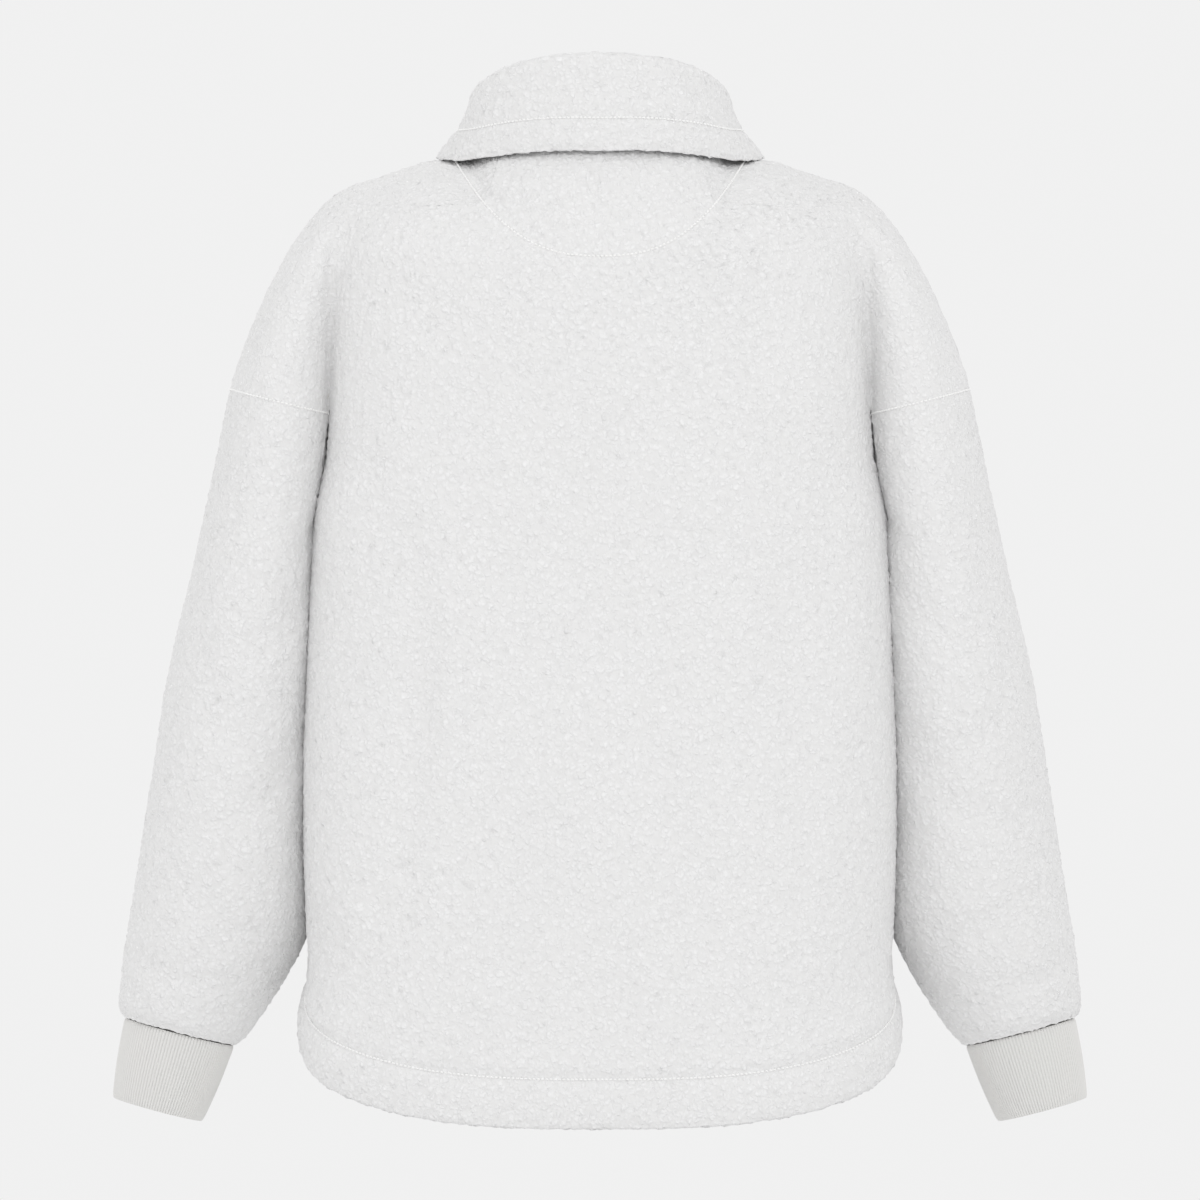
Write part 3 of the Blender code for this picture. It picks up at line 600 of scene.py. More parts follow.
def panel_grids(back):
    """Yoke and torso of one half panel, and its part of the armhole loop."""
    first = PATCH_STEP if back else 0.0
    yoke = yoke_grid(back, np.linspace(first, 1, YOKE_ROWS + 1))
    fold = yoke[-1, TORSO_COLUMNS]
    turn = np.sin((1 - SIDE_SHARES) * math.pi / 2)
    underarm = np.stack([
        fold[0] - 0.05 * turn, fold[1] * SIDE_SHARES, fold[2] + (UNDERARM_Z - fold[2]) * turn], axis=-1)
    controls = torso_controls(back, np.concatenate([yoke[-1, : TORSO_COLUMNS + 1], underarm]))
    # The rows are spaced so that one of them ends the slit
    gone = summed(np.linalg.norm(np.diff(controls, axis=0), axis=-1).mean(axis=1))
    upper = np.interp(-SLIT_ENDS_Z, -controls[:, 0, 2], gone / gone[-1])
    share = np.concatenate([
        np.linspace(0, upper, UPPER_ROWS + 1),
        np.linspace(upper, 1, LOWER_ROWS + 1)[1:],
    ])
    torso = through(controls, share)
    loop = np.concatenate([yoke[-1, TORSO_COLUMNS:][::-1], underarm])
    return yoke, torso, loop


def open_slit(yoke, torso):
    """Parts the centre front: an even gap that narrows to a point."""
    for grid, last in ((yoke, len(yoke)), (torso, UPPER_ROWS)):
        z = grid[:last, 0, 2]
        wide = SLIT_HALF_WIDTH * np.clip((z - SLIT_ENDS_Z) / (SLIT_NARROWS_Z - SLIT_ENDS_Z), 0, 1)
        shift = np.clip(1 - grid[:last, :, 0] / SLIT_REACH, 0, 1)
        grid[:last, :, 0] += shift * wide[:, None]
    torso[UPPER_ROWS:, 0, 0] = 0.0


def ring(centre, tilt, half_width, half_depth, angles):
    """An ellipse whose outer end is tilted up, by angles from that end towards the back."""
    lean = math.radians(tilt)
    across = half_width * np.cos(angles)
    return np.stack([
        centre[0] + across * math.cos(lean),
        centre[1] + half_depth * np.sin(angles),
        centre[2] + across * math.sin(lean),
    ], axis=-1)


def resampled(line, count):
    """A line's points at even distances."""
    gone = distances(line)
    at = np.linspace(0, gone[-1], count + 1)
    return np.stack([np.interp(at, gone, line[:, k]) for k in range(3)], axis=-1)


def sleeve_surface(armhole):
    """Rows from the armhole loop to the end that turns in: ellipses along the arm, smooth between."""
    armhole = resampled(armhole, SLEEVE_COLUMNS)
    armhole[-1] = armhole[0]
    loop = armhole[:-1]
    middle = (loop.max(axis=0) + loop.min(axis=0)) / 2
    sizes = (loop.max(axis=0) - loop.min(axis=0)) / 2
    own = np.unwrap(np.arctan2(loop[:, 1] / sizes[1], (loop[:, 0] - middle[0]) / sizes[0]))
    even = np.linspace(0, 2 * math.pi, len(armhole))[:-1]
    rows = [armhole]
    for (x, y, z, tilt, half_width, half_depth), blend in zip(SLEEVE, SLEEVE_BLEND):
        row = ring((x, y, z), tilt, half_width, half_depth, own + (even - own) * blend)
        rows.append(np.concatenate([row, row[:1]]))
    return through(rows, np.linspace(0, 1, SLEEVE_ROWS + 1))


def neck_frame(angle):
    """Points of the neck seam and the level directions out of it, by the angle from the centre back."""
    turn = np.radians(angle)
    x = NECK_HALF_WIDTH * np.sin(turn)
    depth = np.where(angle <= 90, NECK_BACK_DEPTH, NECK_FRONT_DEPTH)
    z = np.where(angle <= 90, neck_line(x, True)[0], neck_line(x, False)[0])
    out = np.stack([np.sin(turn) / NECK_HALF_WIDTH, np.cos(turn) / depth, np.zeros_like(z)], axis=-1)
    out /= np.linalg.norm(out, axis=-1)[..., None]
    return np.stack([x, depth * np.cos(turn), z], axis=-1), out


def collar_angles():
    """Angles of the collar's columns: even to the side, and even again to the leaf's end."""
    end = 180 - math.degrees(math.asin(SLIT_HALF_WIDTH / NECK_HALF_WIDTH))
    return np.concatenate([
        np.linspace(0, 90, COLLAR_COLUMNS + 1), np.linspace(90, end, COLLAR_COLUMNS + 1)[1:]])


def collar_surface(wall):
    """Stand, roll and fall of the collar's left half.

    Each column is a profile out and up from the neck seam: a straight stand, half a circle,
    and a fall whose distance out is a power of its share. Columns turn with the neck.
    """
    angle = collar_angles()
    roll_out, roll_up, edge_out, edge_up = (column(COLLAR, k, angle) for k in range(1, 5))
    turn_up = roll_up - ROLL_RADIUS
    stand = np.array([0.0, 0.5, 1.0])[:, None]
    outs = list(-wall / CM + (roll_out - ROLL_RADIUS + wall / CM) * stand)
    ups = list(turn_up * stand)
    for bend in np.radians(ROLL_BENDS):
        outs.append(roll_out + ROLL_RADIUS * math.cos(bend))
        ups.append(turn_up + ROLL_RADIUS * math.sin(bend))
    falls = [0.0] * len(outs)
    fall_out = roll_out + ROLL_RADIUS
    stitch = 1 - COLLAR_HEM / np.hypot(turn_up - edge_up, edge_out - fall_out)
    for share, swell in COLLAR_FALL:
        down = stitch * np.minimum(share, 1) + (1 - stitch) * max(share - 1, 0)
        outs.append(fall_out + (edge_out - fall_out) * down**FALL_BEND + swell)
        ups.append(turn_up + (edge_up - turn_up) * down)
        falls.append(down)
    for out, up in COLLAR_TURN:
        outs.append(edge_out + out)
        ups.append(edge_up + up)
        falls.append(down)
    late = np.clip((angle - LEAF_PARTS_FROM) / (angle[-1] - LEAF_PARTS_FROM), 0, 1) ** 1.5
    rows = []
    for out, up, fall in zip(outs, ups, falls):
        base, level = neck_frame(angle - LEAF_SPREAD * late * fall)
        row = base + level * np.asarray(out)[:, None]
        row[:, 2] += up + COLLAR_LIFT
        rows.append(row)
    rows = np.array(rows)
    return through(rows, np.linspace(0, 1, COLLAR_ROWS + 1)), rows


def cuff_surface(ribs, rise):
    """Tube of rib knit: a circle whose radius swells by a power of a cosine at each rib."""
    columns = ribs * POINTS_PER_RIB
    angles = np.linspace(0, 2 * math.pi, columns + 1)
    share = np.linspace(0, 1, CUFF_ROWS + 1)
    number = np.arange(len(CUFF)) / (len(CUFF) - 1)
    x, y, z, tilt, radius = (curve(share, number, CUFF[:, k]) for k in range(5))
    swell = rise / CM * np.abs(np.cos(angles * ribs / 2)) ** RIB_ROUNDNESS
    # The edge turns in at both ends
    top, end = CUFF_TURN_REACH
    ends = CUFF_TURN * (np.exp(-share / top) + np.exp(-(1 - share) / end))
    size = (radius - rise / CM - ends)[:, None] + swell
    lean = np.radians(tilt)
    across = size * np.cos(angles)
    return np.stack([
        x[:, None] + across * np.cos(lean)[:, None],
        y[:, None] + size * np.sin(angles),
        z[:, None] + across * np.sin(lean)[:, None],
    ], axis=-1)


# Relief

def mixed(a, b, c, seed):
    """An even random number from 0 to 1 for each whole-number cell, by mixing its digits."""
    value = (a * 73856093) ^ (b * 19349663) ^ (c * 83492791) ^ (seed * 2654435761)
    value &= 0xFFFFFFFF
    value = ((value ^ (value >> 15)) * 2246822519) & 0xFFFFFFFF
    value = ((value ^ (value >> 13)) * 3266489917) & 0xFFFFFFFF
    return ((value ^ (value >> 16)) & 0xFFFFFFFF) / 4294967295.0


def curls(points, size):
    """Lumps of curly pile: one minus the distance to the nearest scattered point, in cell sizes.

    Each cell holds one scattered point, and space is swayed by sines first, so that lumps
    run together into short worms.
    """
    sway = np.stack([
        np.sin(points @ np.array([610.0, 240.0, -390.0]) + 1.3),
        np.sin(points @ np.array([-320.0, 520.0, 450.0]) + 0.4),
        np.sin(points @ np.array([280.0, -410.0, 640.0]) + 2.1),
    ], axis=-1) * size * CURL_SWAY
    place = (points + sway) / size
    cell = np.floor(place).astype(np.int64)
    nearest = np.full(len(points), 9.0)
    for dx in (-1, 0, 1):
        for dy in (-1, 0, 1):
            for dz in (-1, 0, 1):
                at = cell + np.array([dx, dy, dz])
                spot = np.stack([mixed(*at.T, seed) for seed in (1, 2, 3)], axis=-1)
                gap = ((at + 0.1 + 0.8 * spot - place) ** 2).sum(axis=1)
                nearest = np.minimum(nearest, gap)
    return 1 - np.clip(np.sqrt(nearest), 0, 1)


def near_line(points, line, reach):
    """Distance of each point to a polyline, where it is under the reach."""
    line = np.asarray(line)
    found = np.full(len(points), reach)
    low, high = line.min(axis=0) - reach, line.max(axis=0) + reach
    close = np.flatnonzero(np.all((points > low) & (points < high), axis=1))
    starts, runs = line[:-1], np.diff(line, axis=0)
    size = (runs**2).sum(axis=1)
    for part in np.array_split(close, max(1, len(close) * len(runs) // PAIRS_AT_ONCE)):
        gap = points[part][:, None] - starts
        along = np.clip((gap * runs).sum(axis=-1) / size, 0, 1)
        gap = gap - along[..., None] * runs
        found[part] = np.minimum(found[part], np.sqrt((gap**2).sum(axis=-1)).min(axis=1))
    return found


def creases(across, up, lines):
    """Sum of soft troughs and ridges: a bell across each line, that fades to its ends."""
    total = np.zeros(len(across))
    for line, wide, deep in lines:
        line = np.asarray(line, float)
        starts, runs = line[:-1], np.diff(line, axis=0)
        length = np.hypot(*runs.T)
        before = summed(length)
        best = np.full(len(across), 1e9)
        share = np.zeros(len(across))
        for k in range(len(runs)):
            dx, dz = across - starts[k, 0], up - starts[k, 1]
            along = np.clip((dx * runs[k, 0] + dz * runs[k, 1]) / length[k] ** 2, 0, 1)
            gap = np.hypot(dx - along * runs[k, 0], dz - along * runs[k, 1])
            closer = gap < best
            best[closer] = gap[closer]
            share[closer] = ((before[k] + along * length[k]) / before[-1])[closer]
        fade = np.sin(math.pi * np.clip(share, 0.02, 0.98)) ** 0.6
        total += deep * np.exp(-((best / wide) ** 2)) * fade
    return total * CM


# Meshes

class Cloth:
    """One piece of cloth from joined grids: a fine face, a coarse lining and the edges between."""

    def __init__(self, name, wall, grids, sides=(1, -1), flip=False):
        """Takes grids in centimetres for each side, mirrored on side -1, turned over if flip is set."""
        self.name, self.wall = name, wall
        self.grids = [
            (grid if side > 0 else mirrored(grid), (side < 0) != flip)
            for side in sides for grid in grids]
        self.join()

    def join(self):
        """Welds equal points, and finds each point's direction outwards as the mean of its faces'."""
        points, self.index = [], []
        count = 0
        for grid, _ in self.grids:
            number = count + np.arange(grid.shape[0] * grid.shape[1]).reshape(grid.shape[:2])
            self.index.append(number)
            points.append(grid.reshape(-1, 3))
            count += number.size
        points = np.concatenate(points) * CM
        _, first, same = np.unique(
            np.round(points * WELDS_PER_METRE).astype(np.int64), axis=0,
            return_index=True, return_inverse=True)
        same = same.reshape(-1)
        self.points = points[first]
        self.index = [same[number] for number in self.index]
        self.faces = self.quads(1)
        corners = self.points[self.faces]
        across = np.cross(corners[:, 2] - corners[:, 0], corners[:, 3] - corners[:, 1])
        self.normals = np.zeros_like(self.points)
        for corner in range(4):
            np.add.at(self.normals, self.faces[:, corner], across)
        self.normals /= np.maximum(np.linalg.norm(self.normals, axis=1), 1e-12)[:, None]
        self.walls = np.full(len(self.points), self.wall)

    def quads(self, step):
        found = []
        for number, (_, flip) in zip(self.index, self.grids):
            part = number[::step, ::step]
            quads = np.stack([part[:-1, :-1], part[1:, :-1], part[1:, 1:], part[:-1, 1:]], axis=-1)
            quads = quads.reshape(-1, 4)
            found.append(quads[:, ::-1] if flip else quads)
        return np.concatenate(found)

    def rims(self):
        """Runs of edge points, one for each edge cell of the lining, where no other grid goes on."""
        runs = []
        for number, (_, flip) in zip(self.index, self.grids):
            sides = [number[:, 0], number[-1], number[::-1, -1], number[0, ::-1]]
            for side in sides:
                side = side[::-1] if flip else side
                starts = np.arange(0, len(side) - 1, LINING_CELL)
                runs.append(side[starts[:, None] + np.arange(LINING_CELL + 1)])
        runs = np.concatenate(runs)
        runs = runs[runs[:, 0] != runs[:, -1]]
        ends = np.sort(runs[:, [0, -1]], axis=1)
        _, where, times = np.unique(ends, axis=0, return_inverse=True, return_counts=True)
        return runs[times[where.reshape(-1)] == 1]

    def thin(self, grid_number, row):
        """Thins the wall from a row of a grid to its turned end."""
        self.walls[self.index[grid_number][row:]] = TURNED_WALL

    def make(self, relief, finishes):
        """The closed mesh, its face moved out by the relief in metres, with sharp edges round it."""
        outer = self.points + self.normals * relief[:, None]
        coarse = self.quads(LINING_CELL)
        used, lining = np.unique(coarse, return_inverse=True)
        lining = lining.reshape(coarse.shape)
        sunk = np.minimum(relief[used] + CURL_ROOM, 0)
        inner = self.points[used] + self.normals[used] * (sunk - self.walls[used])[:, None]
        count = len(outer)
        place = np.full(count, -1)
        place[used] = np.arange(len(used)) + count
        rims = self.rims()
        edges = np.concatenate([rims[:, ::-1], place[rims[:, [0, -1]]]], axis=1)
        faces = self.faces.tolist() + (lining[:, ::-1] + count).tolist() + edges.tolist()
        made = new_object(self.name, np.concatenate([outer, inner]), faces, finishes)
        slots = np.zeros(len(faces), np.int32)
        slots[len(self.faces):] = 1 if len(finishes) > 1 else 0
        made.data.polygons.foreach_set("material_index", slots)
        sharpen(made.data, np.stack([rims[:, :-1].ravel(), rims[:, 1:].ravel()], axis=1))
        made.data.update()
        return made


def sharpen(mesh, edges):
    """Marks edges, given as pairs of points, as sharp."""
    found = np.empty(len(mesh.edges) * 2, np.int64)
    mesh.edges.foreach_get("vertices", found)
    found = np.sort(found.reshape(-1, 2), axis=1)
    edges = np.sort(edges, axis=1)
    most = len(mesh.vertices)
    sharp = np.isin(found[:, 0] * most + found[:, 1], edges[:, 0] * most + edges[:, 1])
    marks = mesh.attributes
    marks = marks.get("sharp_edge") or marks.new("sharp_edge", "BOOLEAN", "EDGE")
    marks.data.foreach_set("value", sharp)


def share_directions(cloths):
    """Gives points on a common seam one direction: the mean of their own and their neighbours'."""
    rims = [np.unique(cloth.rims()) for cloth in cloths]
    own = [cloth.normals.copy() for cloth in cloths]
    for k, cloth in enumerate(cloths):
        points = cloth.points[rims[k]]
        total = np.zeros_like(points)
        for other in range(len(cloths)):
            if other == k:
                continue
            theirs = cloths[other].points[rims[other]]
            gap = np.linalg.norm(points[:, None] - theirs, axis=-1)
            near = np.exp(-((gap / SEAM_REACH) ** 2)) * (gap < 2 * SEAM_REACH)
            total += near @ own[other][rims[other]] / np.maximum(near.sum(axis=1), 1e-9)[:, None]
        mean = own[k][rims[k]] + total
        cloth.normals[rims[k]] = mean / np.linalg.norm(mean, axis=1)[:, None]


def new_object(name, points, faces, finishes):
    mesh = bpy.data.meshes.new(name)
    mesh.from_pydata(np.asarray(points, float).tolist(), [], faces)
    mesh.validate()
    mesh.update()
    mesh.shade_smooth()
    for finish in finishes:
        mesh.materials.append(finish)
    made = bpy.data.objects.new(name, mesh)
    bpy.context.scene.collection.objects.link(made)
    return made


def wrapped_quads(number):
    """Quads between each ring of points, by their numbers, and the next."""
    after = np.roll(number, -1, axis=-1)
    corners = [number[..., :-1, :], number[..., 1:, :], after[..., 1:, :], after[..., :-1, :]]
    return np.stack(corners, axis=-1).reshape(-1, 4)


def mirrored(grid):
    return grid * np.array([-1.0, 1.0, 1.0])


def dress(made, node):
    """A finished piece rides on the garment and stands for its node."""
    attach(made, GARMENT)
    if node:
        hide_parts(node)
    return made


# Finishes

def wired(tree, node_type, feeds=None, **values):
    """A new node with its properties set, and each input fed by an output or a value."""
    node = tree.nodes.new(node_type)
    for key, value in values.items():
        setattr(node, key, value)
    for key, feed in (feeds or {}).items():
        if isinstance(feed, bpy.types.NodeSocket):
            tree.links.new(feed, node.inputs[key])
        else:
            node.inputs[key].default_value = feed
    return node


def object_place(tree):
    return tree.nodes.new("ShaderNodeTexCoord").outputs["Object"]


def noise(tree, scale, detail):
    """Noise over the object's own coordinates."""
    feeds = {"Vector": object_place(tree), "Scale": scale, "Detail": detail}
    return wired(tree, "ShaderNodeTexNoise", feeds).outputs["Fac"]


def ranged(tree, source, before, after, **values):
    """A value moved from one range to another."""
    feeds = {"Value": source}
    for name, (low, high) in (("From", before), ("To", after)):
        feeds |= {f"{name} Min": low, f"{name} Max": high}
    return wired(tree, "ShaderNodeMapRange", feeds, **values).outputs["Result"]


def blended(tree, first, second, factor):
    """A colour mixed from two, each an output or a value."""
    mix = wired(tree, "ShaderNodeMix", data_type="RGBA")
    for key, feed in (("A", first), ("B", second), ("Factor", factor)):
        if isinstance(feed, bpy.types.NodeSocket):
            tree.links.new(feed, mix.inputs[key])
        else:
            mix.inputs[key].default_value = (*feed, 1)
    return mix.outputs["Result"]


def cloth_group():
    """Curly pile: lumps from a swayed cell pattern, with fine fibres over them."""
    found = bpy.data.node_groups.get("curly_pile")
    if found:
        return found
    tree = bpy.data.node_groups.new("curly_pile", "ShaderNodeTree")
    add = tree.interface.new_socket
    for name, default in (("Curls per metre", 310.0), ("Fibres per metre", 1500.0)):
        add(name, in_out="INPUT", socket_type="NodeSocketFloat").default_value = default
    for name in ("Height", "Crevice", "Tone"):
        add(name, in_out="OUTPUT", socket_type="NodeSocketFloat")
    take = tree.nodes.new("NodeGroupInput").outputs
    place = object_place(tree)
    sway = wired(tree, "ShaderNodeTexNoise", {"Vector": place, "Scale": 230.0, "Detail": 1.0})
    centre = wired(
        tree, "ShaderNodeVectorMath", {0: sway.outputs["Color"], 1: (0.5, 0.5, 0.5)},
        operation="SUBTRACT")
    shift = wired(
        tree, "ShaderNodeVectorMath", {0: centre.outputs[0], 1: (SWAY, SWAY, SWAY), 2: place},
        operation="MULTIPLY_ADD").outputs[0]
    lumps = wired(
        tree, "ShaderNodeTexVoronoi",
        {"Vector": shift, "Scale": take["Curls per metre"], "Smoothness": 0.3}, feature="SMOOTH_F1")
    fibres = wired(
        tree, "ShaderNodeTexNoise",
        {"Vector": shift, "Scale": take["Fibres per metre"], "Detail": 2.0, "Distortion": 1.2})
    lump = ranged(
        tree, lumps.outputs["Distance"], (0.75, 0.05), (0.0, 1.0), interpolation_type="SMOOTHSTEP")
    high = wired(
        tree, "ShaderNodeMath", {0: fibres.outputs["Fac"], 1: 0.28, 2: lump}, operation="MULTIPLY_ADD")
    # The Crevice output masks the painted shade between the curls
    deep = wired(tree, "ShaderNodeMath", {0: 1.0, 1: lump}, operation="SUBTRACT", use_clamp=True)
    wired(tree, "NodeGroupOutput", {
        "Height": high.outputs[0], "Crevice": deep.outputs[0], "Tone": noise(tree, 14.0, 3.0)})
    return tree


def base_material(name, colour, rough, metal=0.0):
    made = bpy.data.materials.new(name)
    made.use_nodes = True
    tree = made.node_tree
    shader = tree.nodes["Principled BSDF"]
    shader.inputs["Roughness"].default_value = rough
    shader.inputs["Metallic"].default_value = metal
    shader.inputs["Base Color"].default_value = (*colour, 1)
    made.diffuse_color = (*colour, 1)
    return made, tree, shader


def tinted(tree, shader, colour, darker, factor):
    """Base colour mixed towards a darker one by a factor that varies over the surface."""
    tree.links.new(blended(tree, colour, darker, factor), shader.inputs["Base Color"])


def bumped(tree, shader, height, strength, distance):
    bump = wired(tree, "ShaderNodeBump", {"Height": height, "Strength": strength, "Distance": distance})
    tree.links.new(bump.outputs["Normal"], shader.inputs["Normal"])


def scaled(colour, share):
    return tuple(value * share for value in colour)


def pile_finish():
    """White curly pile: matt, with a soft sheen, and painted shade, warmer and darker, between its
    curls.
    """
    found = bpy.data.materials.get("pile_fleece_curly")
    if found:
        return found
    colour = tuple(settings().pile_colour)
    made, tree, shader = base_material("pile_fleece_curly", colour, 0.95)
    group = tree.nodes.new("ShaderNodeGroup")
    group.node_tree = cloth_group()
    # Painted shade: the colour turns warmer and darker in the crevices between the curls, where shade
    # falls
    crevice_shade_colour = (colour[0] * 0.72, colour[1] * 0.715, colour[2] * 0.70)
    part = wired(
        tree, "ShaderNodeMath", {0: group.outputs["Crevice"], 1: CREVICE_SHADE_SHARE}, operation="MULTIPLY")
    crevice_shaded_colour = blended(tree, colour, crevice_shade_colour, part.outputs[0])
    tone = ranged(tree, group.outputs["Tone"], (0.3, 0.7), (0.0, 0.10))
    tinted(tree, shader, crevice_shaded_colour, scaled(colour, 0.86), tone)
    bumped(tree, shader, group.outputs["Height"], 0.7, 0.00095)
    shader.inputs["Sheen Weight"].default_value = 0.25
    shader.inputs["Sheen Roughness"].default_value = 0.6
    shader.inputs["Specular IOR Level"].default_value = 0.15
    return made


def knit_finish(name, colour, loops, strength):
    """Fine knit: rows of small loops from two crossed waves, with soft tone changes."""
    found = bpy.data.materials.get(name)
    if found:
        return found
    made, tree, shader = base_material(name, colour, 0.92)
    place = object_place(tree)
    loop = wired(
        tree, "ShaderNodeTexWave",
        {"Vector": place, "Scale": loops, "Distortion": 2.0, "Detail": 1.0, "Detail Scale": 3.0},
        wave_type="BANDS", bands_direction="Z")
    both = wired(
        tree, "ShaderNodeMath", {0: noise(tree, 900.0, 2.0), 1: 0.6, 2: loop.outputs["Fac"]},
        operation="MULTIPLY_ADD").outputs[0]
    tinted(tree, shader, scaled(colour, 0.95), scaled(colour, 1.03), both)
    bumped(tree, shader, both, strength, 0.0004)
    shader.inputs["Sheen Weight"].default_value = 0.15
    shader.inputs["Specular IOR Level"].default_value = 0.15
    return made


def thread_finish():
    """Sewing thread with a fine twist."""
    found = bpy.data.materials.get("sewing_thread")
    if found:
        return found
    colour = tuple(settings().thread_colour)
    made, tree, shader = base_material("sewing_thread", colour, 0.7)
    twist = noise(tree, 1800.0, 1.0)
    tinted(tree, shader, colour, scaled(colour, 0.96), twist)
    bumped(tree, shader, twist, 0.5, 0.0003)
    return made


def metal_finish():
    """Satin silver metal: fine brushed grain in its roughness and a slight bump."""
    found = bpy.data.materials.get("zip_metal_satin")
    if found:
        return found
    made, tree, shader = base_material("zip_metal_satin", (0.68, 0.67, 0.65), 0.3, 1.0)
    grain = noise(tree, 1100.0, 3.0)
    tree.links.new(ranged(tree, grain, (0.3, 0.7), (0.24, 0.42)), shader.inputs["Roughness"])
    tinted(tree, shader, (0.70, 0.69, 0.67), (0.56, 0.55, 0.53), grain)
    bumped(tree, shader, grain, 0.25, 0.00015)
    return made


def cloth_finishes():
    return [pile_finish(), knit_finish("fleece_backing", (0.78, 0.77, 0.745), 900.0, 0.4)]


# Pieces

def armhole_loop():
    """The left armhole's edge in centimetres: the back panel's part, then the front's."""
    back, front = panel_grids(True)[2], panel_grids(False)[2]
    return np.concatenate([back, front[::-1][1:]])


def seam_lines():
    """Seams as lines in metres: half-moon, shoulders, armholes and sides, for both halves."""
    lines = []
    moon = yoke_grid(True, [PATCH_STEP])[0]
    hems = [hem_line(True), hem_line(False)]
    shoulder = panel_grids(False)[0][:, -1]
    side = panel_grids(True)[1][:, -1]
    for line in (moon, armhole_loop(), shoulder, side, *hems):
        lines += [line * CM, mirrored(line) * CM]
    return [line[::2] if len(line) > LONG_LINE else line for line in lines]


def hem_line(back):
    """The hem's topstitch: the main row at its height."""
    torso = panel_grids(back)[1]
    controls = torso_controls(back, torso[0])
    return controls[len(TORSO_STEPS) + HEM_ROWS.index(HEM_STITCH)]


def worked(points, lines, share=1.0):
    """Curls, flattened and drawn in along the seams by a bell of the distance to the nearest one."""
    nearest = np.full(len(points), SEAM_SEEN)
    for line in lines:
        nearest = np.minimum(nearest, near_line(points, line, SEAM_SEEN))
    bell = share * np.exp(-((nearest / SEAM_WIDTH) ** 2))
    return pile_relief(points) * (1 - SEAM_FLATTENS * bell) - settings().seam_depth * bell


def pile_relief(points):
    """Curls a little below and above the solid's face."""
    size = settings().curl_size
    return settings().curl_relief * sum(
        share * (curls(points + shift, size * wide) - middle)
        for shift, wide, share, middle in CURL_LAYERS)


def panel_cloth(back):
    """The back or front panel from its four grids, each mirrored."""
    yoke, torso, _ = panel_grids(back)
    if not back:
        open_slit(yoke, torso)
    split = TORSO_COLUMNS
    grids = [yoke[:, : split + 1], yoke[:, split:], torso[:, : split + 1], torso[:, split:]]
    name = "back_panel_pile" if back else "front_panel_pile"
    cloth = Cloth(name, settings().wall, grids, flip=back)
    for number in (2, 3, 6, 7):
        cloth.thin(number, -3)
    return cloth


def patch_cloth():
    """The half-moon patch below the neck."""
    grid = yoke_grid(True, np.linspace(0, PATCH_STEP, PATCH_ROWS + 1))
    return Cloth("neck_patch_pile", settings().wall, [grid], flip=True)


def sleeve_cloth(name, side):
    grid = sleeve_surface(armhole_loop())
    return Cloth(f"sleeve_{name}_pile", settings().wall, [grid], (side,))


def stitch_line(line, made):
    """Stitches along a line in metres, laid on a made piece's face.

    Each stitch is a six-sided bar, thinner and lower at its ends, from a to b on the face,
    with the face's direction up.
    """
    points = resampled(line, max(2, int(distances(line)[-1] / settings().stitch_length)))
    found = [made.closest_point_on_mesh(point.tolist())[1:3] for point in points]
    place = np.array([hit[0] for hit in found])
    up = np.array([hit[1] for hit in found])
    start, end = place[:-1], place[1:]
    along = end - start
    start, end = start + STITCH_GAP * along, end - STITCH_GAP * along
    lift = up[:-1] + up[1:]
    lift /= np.linalg.norm(lift, axis=1)[:, None]
    across = np.cross(along, lift)
    across /= np.maximum(np.linalg.norm(across, axis=1), 1e-9)[:, None]
    turn = np.linspace(0, 2 * math.pi, 7)[:-1, None]
    round_bar = across[:, None] * np.cos(turn) + lift[:, None] * np.sin(turn)
    rings = []
    for share, size, high in STITCH_RINGS:
        middle = start + share * (end - start) + lift * THREAD_RADIUS * high
        rings.append(middle[:, None] + size * THREAD_RADIUS * round_bar)
    points = np.stack(rings, axis=1)
    number = np.arange(points.size // 3).reshape(points.shape[:3])
    caps = np.concatenate([number[:, 0], number[:, -1, ::-1]])
    return points.reshape(-1, 3), wrapped_quads(number), caps


def sewn(name, runs):
    """One joined mesh of the stitches along (line, made piece) runs."""
    points, faces, count = [], [], 0
    for line, made in runs:
        part, sides, caps = stitch_line(line, made)
        points.append(part)
        faces += (sides + count).tolist() + (caps + count).tolist()
        count += len(part)
    made = new_object(name, np.concatenate(points), faces, [thread_finish()])
    return dress(made, None)


def check_scene():
    if GARMENT not in frame["bodies"]:
        raise RuntimeError("the frame has no garment body")


class PULLOVER_OT_body(bpy.types.Operator):
    """Builds the back, the front, the half-moon patch below the neck and both sleeves"""

    bl_idname = "pullover.body"
    bl_label = "Body and sleeves"

    def execute(self, context):
        check_scene()
        share = settings().crease_share
        lines = seam_lines()
        back, front, patch = panel_cloth(True), panel_cloth(False), patch_cloth()
        sleeves = [sleeve_cloth(name, side) for name, side in SIDES]
        cloths = [back, front, patch, *sleeves]
        share_directions(cloths)
        reliefs = [worked(cloth.points, lines) for cloth in cloths]
        for k, drawn in enumerate((BACK_CREASES, FRONT_CREASES, BACK_CREASES)):
            points = cloths[k].points / CM
            reliefs[k] += share * creases(points[:, 0], points[:, 2], drawn)
        turn = np.linspace(0, 360, SLEEVE_COLUMNS + 1)
        for k, shift in SLEEVE_TURNS:
            around = np.zeros(len(cloths[k].points))
            around[cloths[k].index[0][:, ::-1]] = turn[::-1]
            scaled_lines = [
                ([(angle / DEGREES_PER_CM, up) for angle, up in line], wide, deep)
                for line, wide, deep in SLEEVE_CREASES]
            reliefs[k] += share * creases(
                (around + shift) / DEGREES_PER_CM, cloths[k].points[:, 2] / CM, scaled_lines)
        made = [cloth.make(relief, cloth_finishes()) for cloth, relief in zip(cloths, reliefs)]
        nodes = ("back_panel", "front_panel", "neck_patch", "sleeve_left", "sleeve_right")
        for piece, node in zip(made, nodes):
            dress(piece, node)
        return {"FINISHED"}


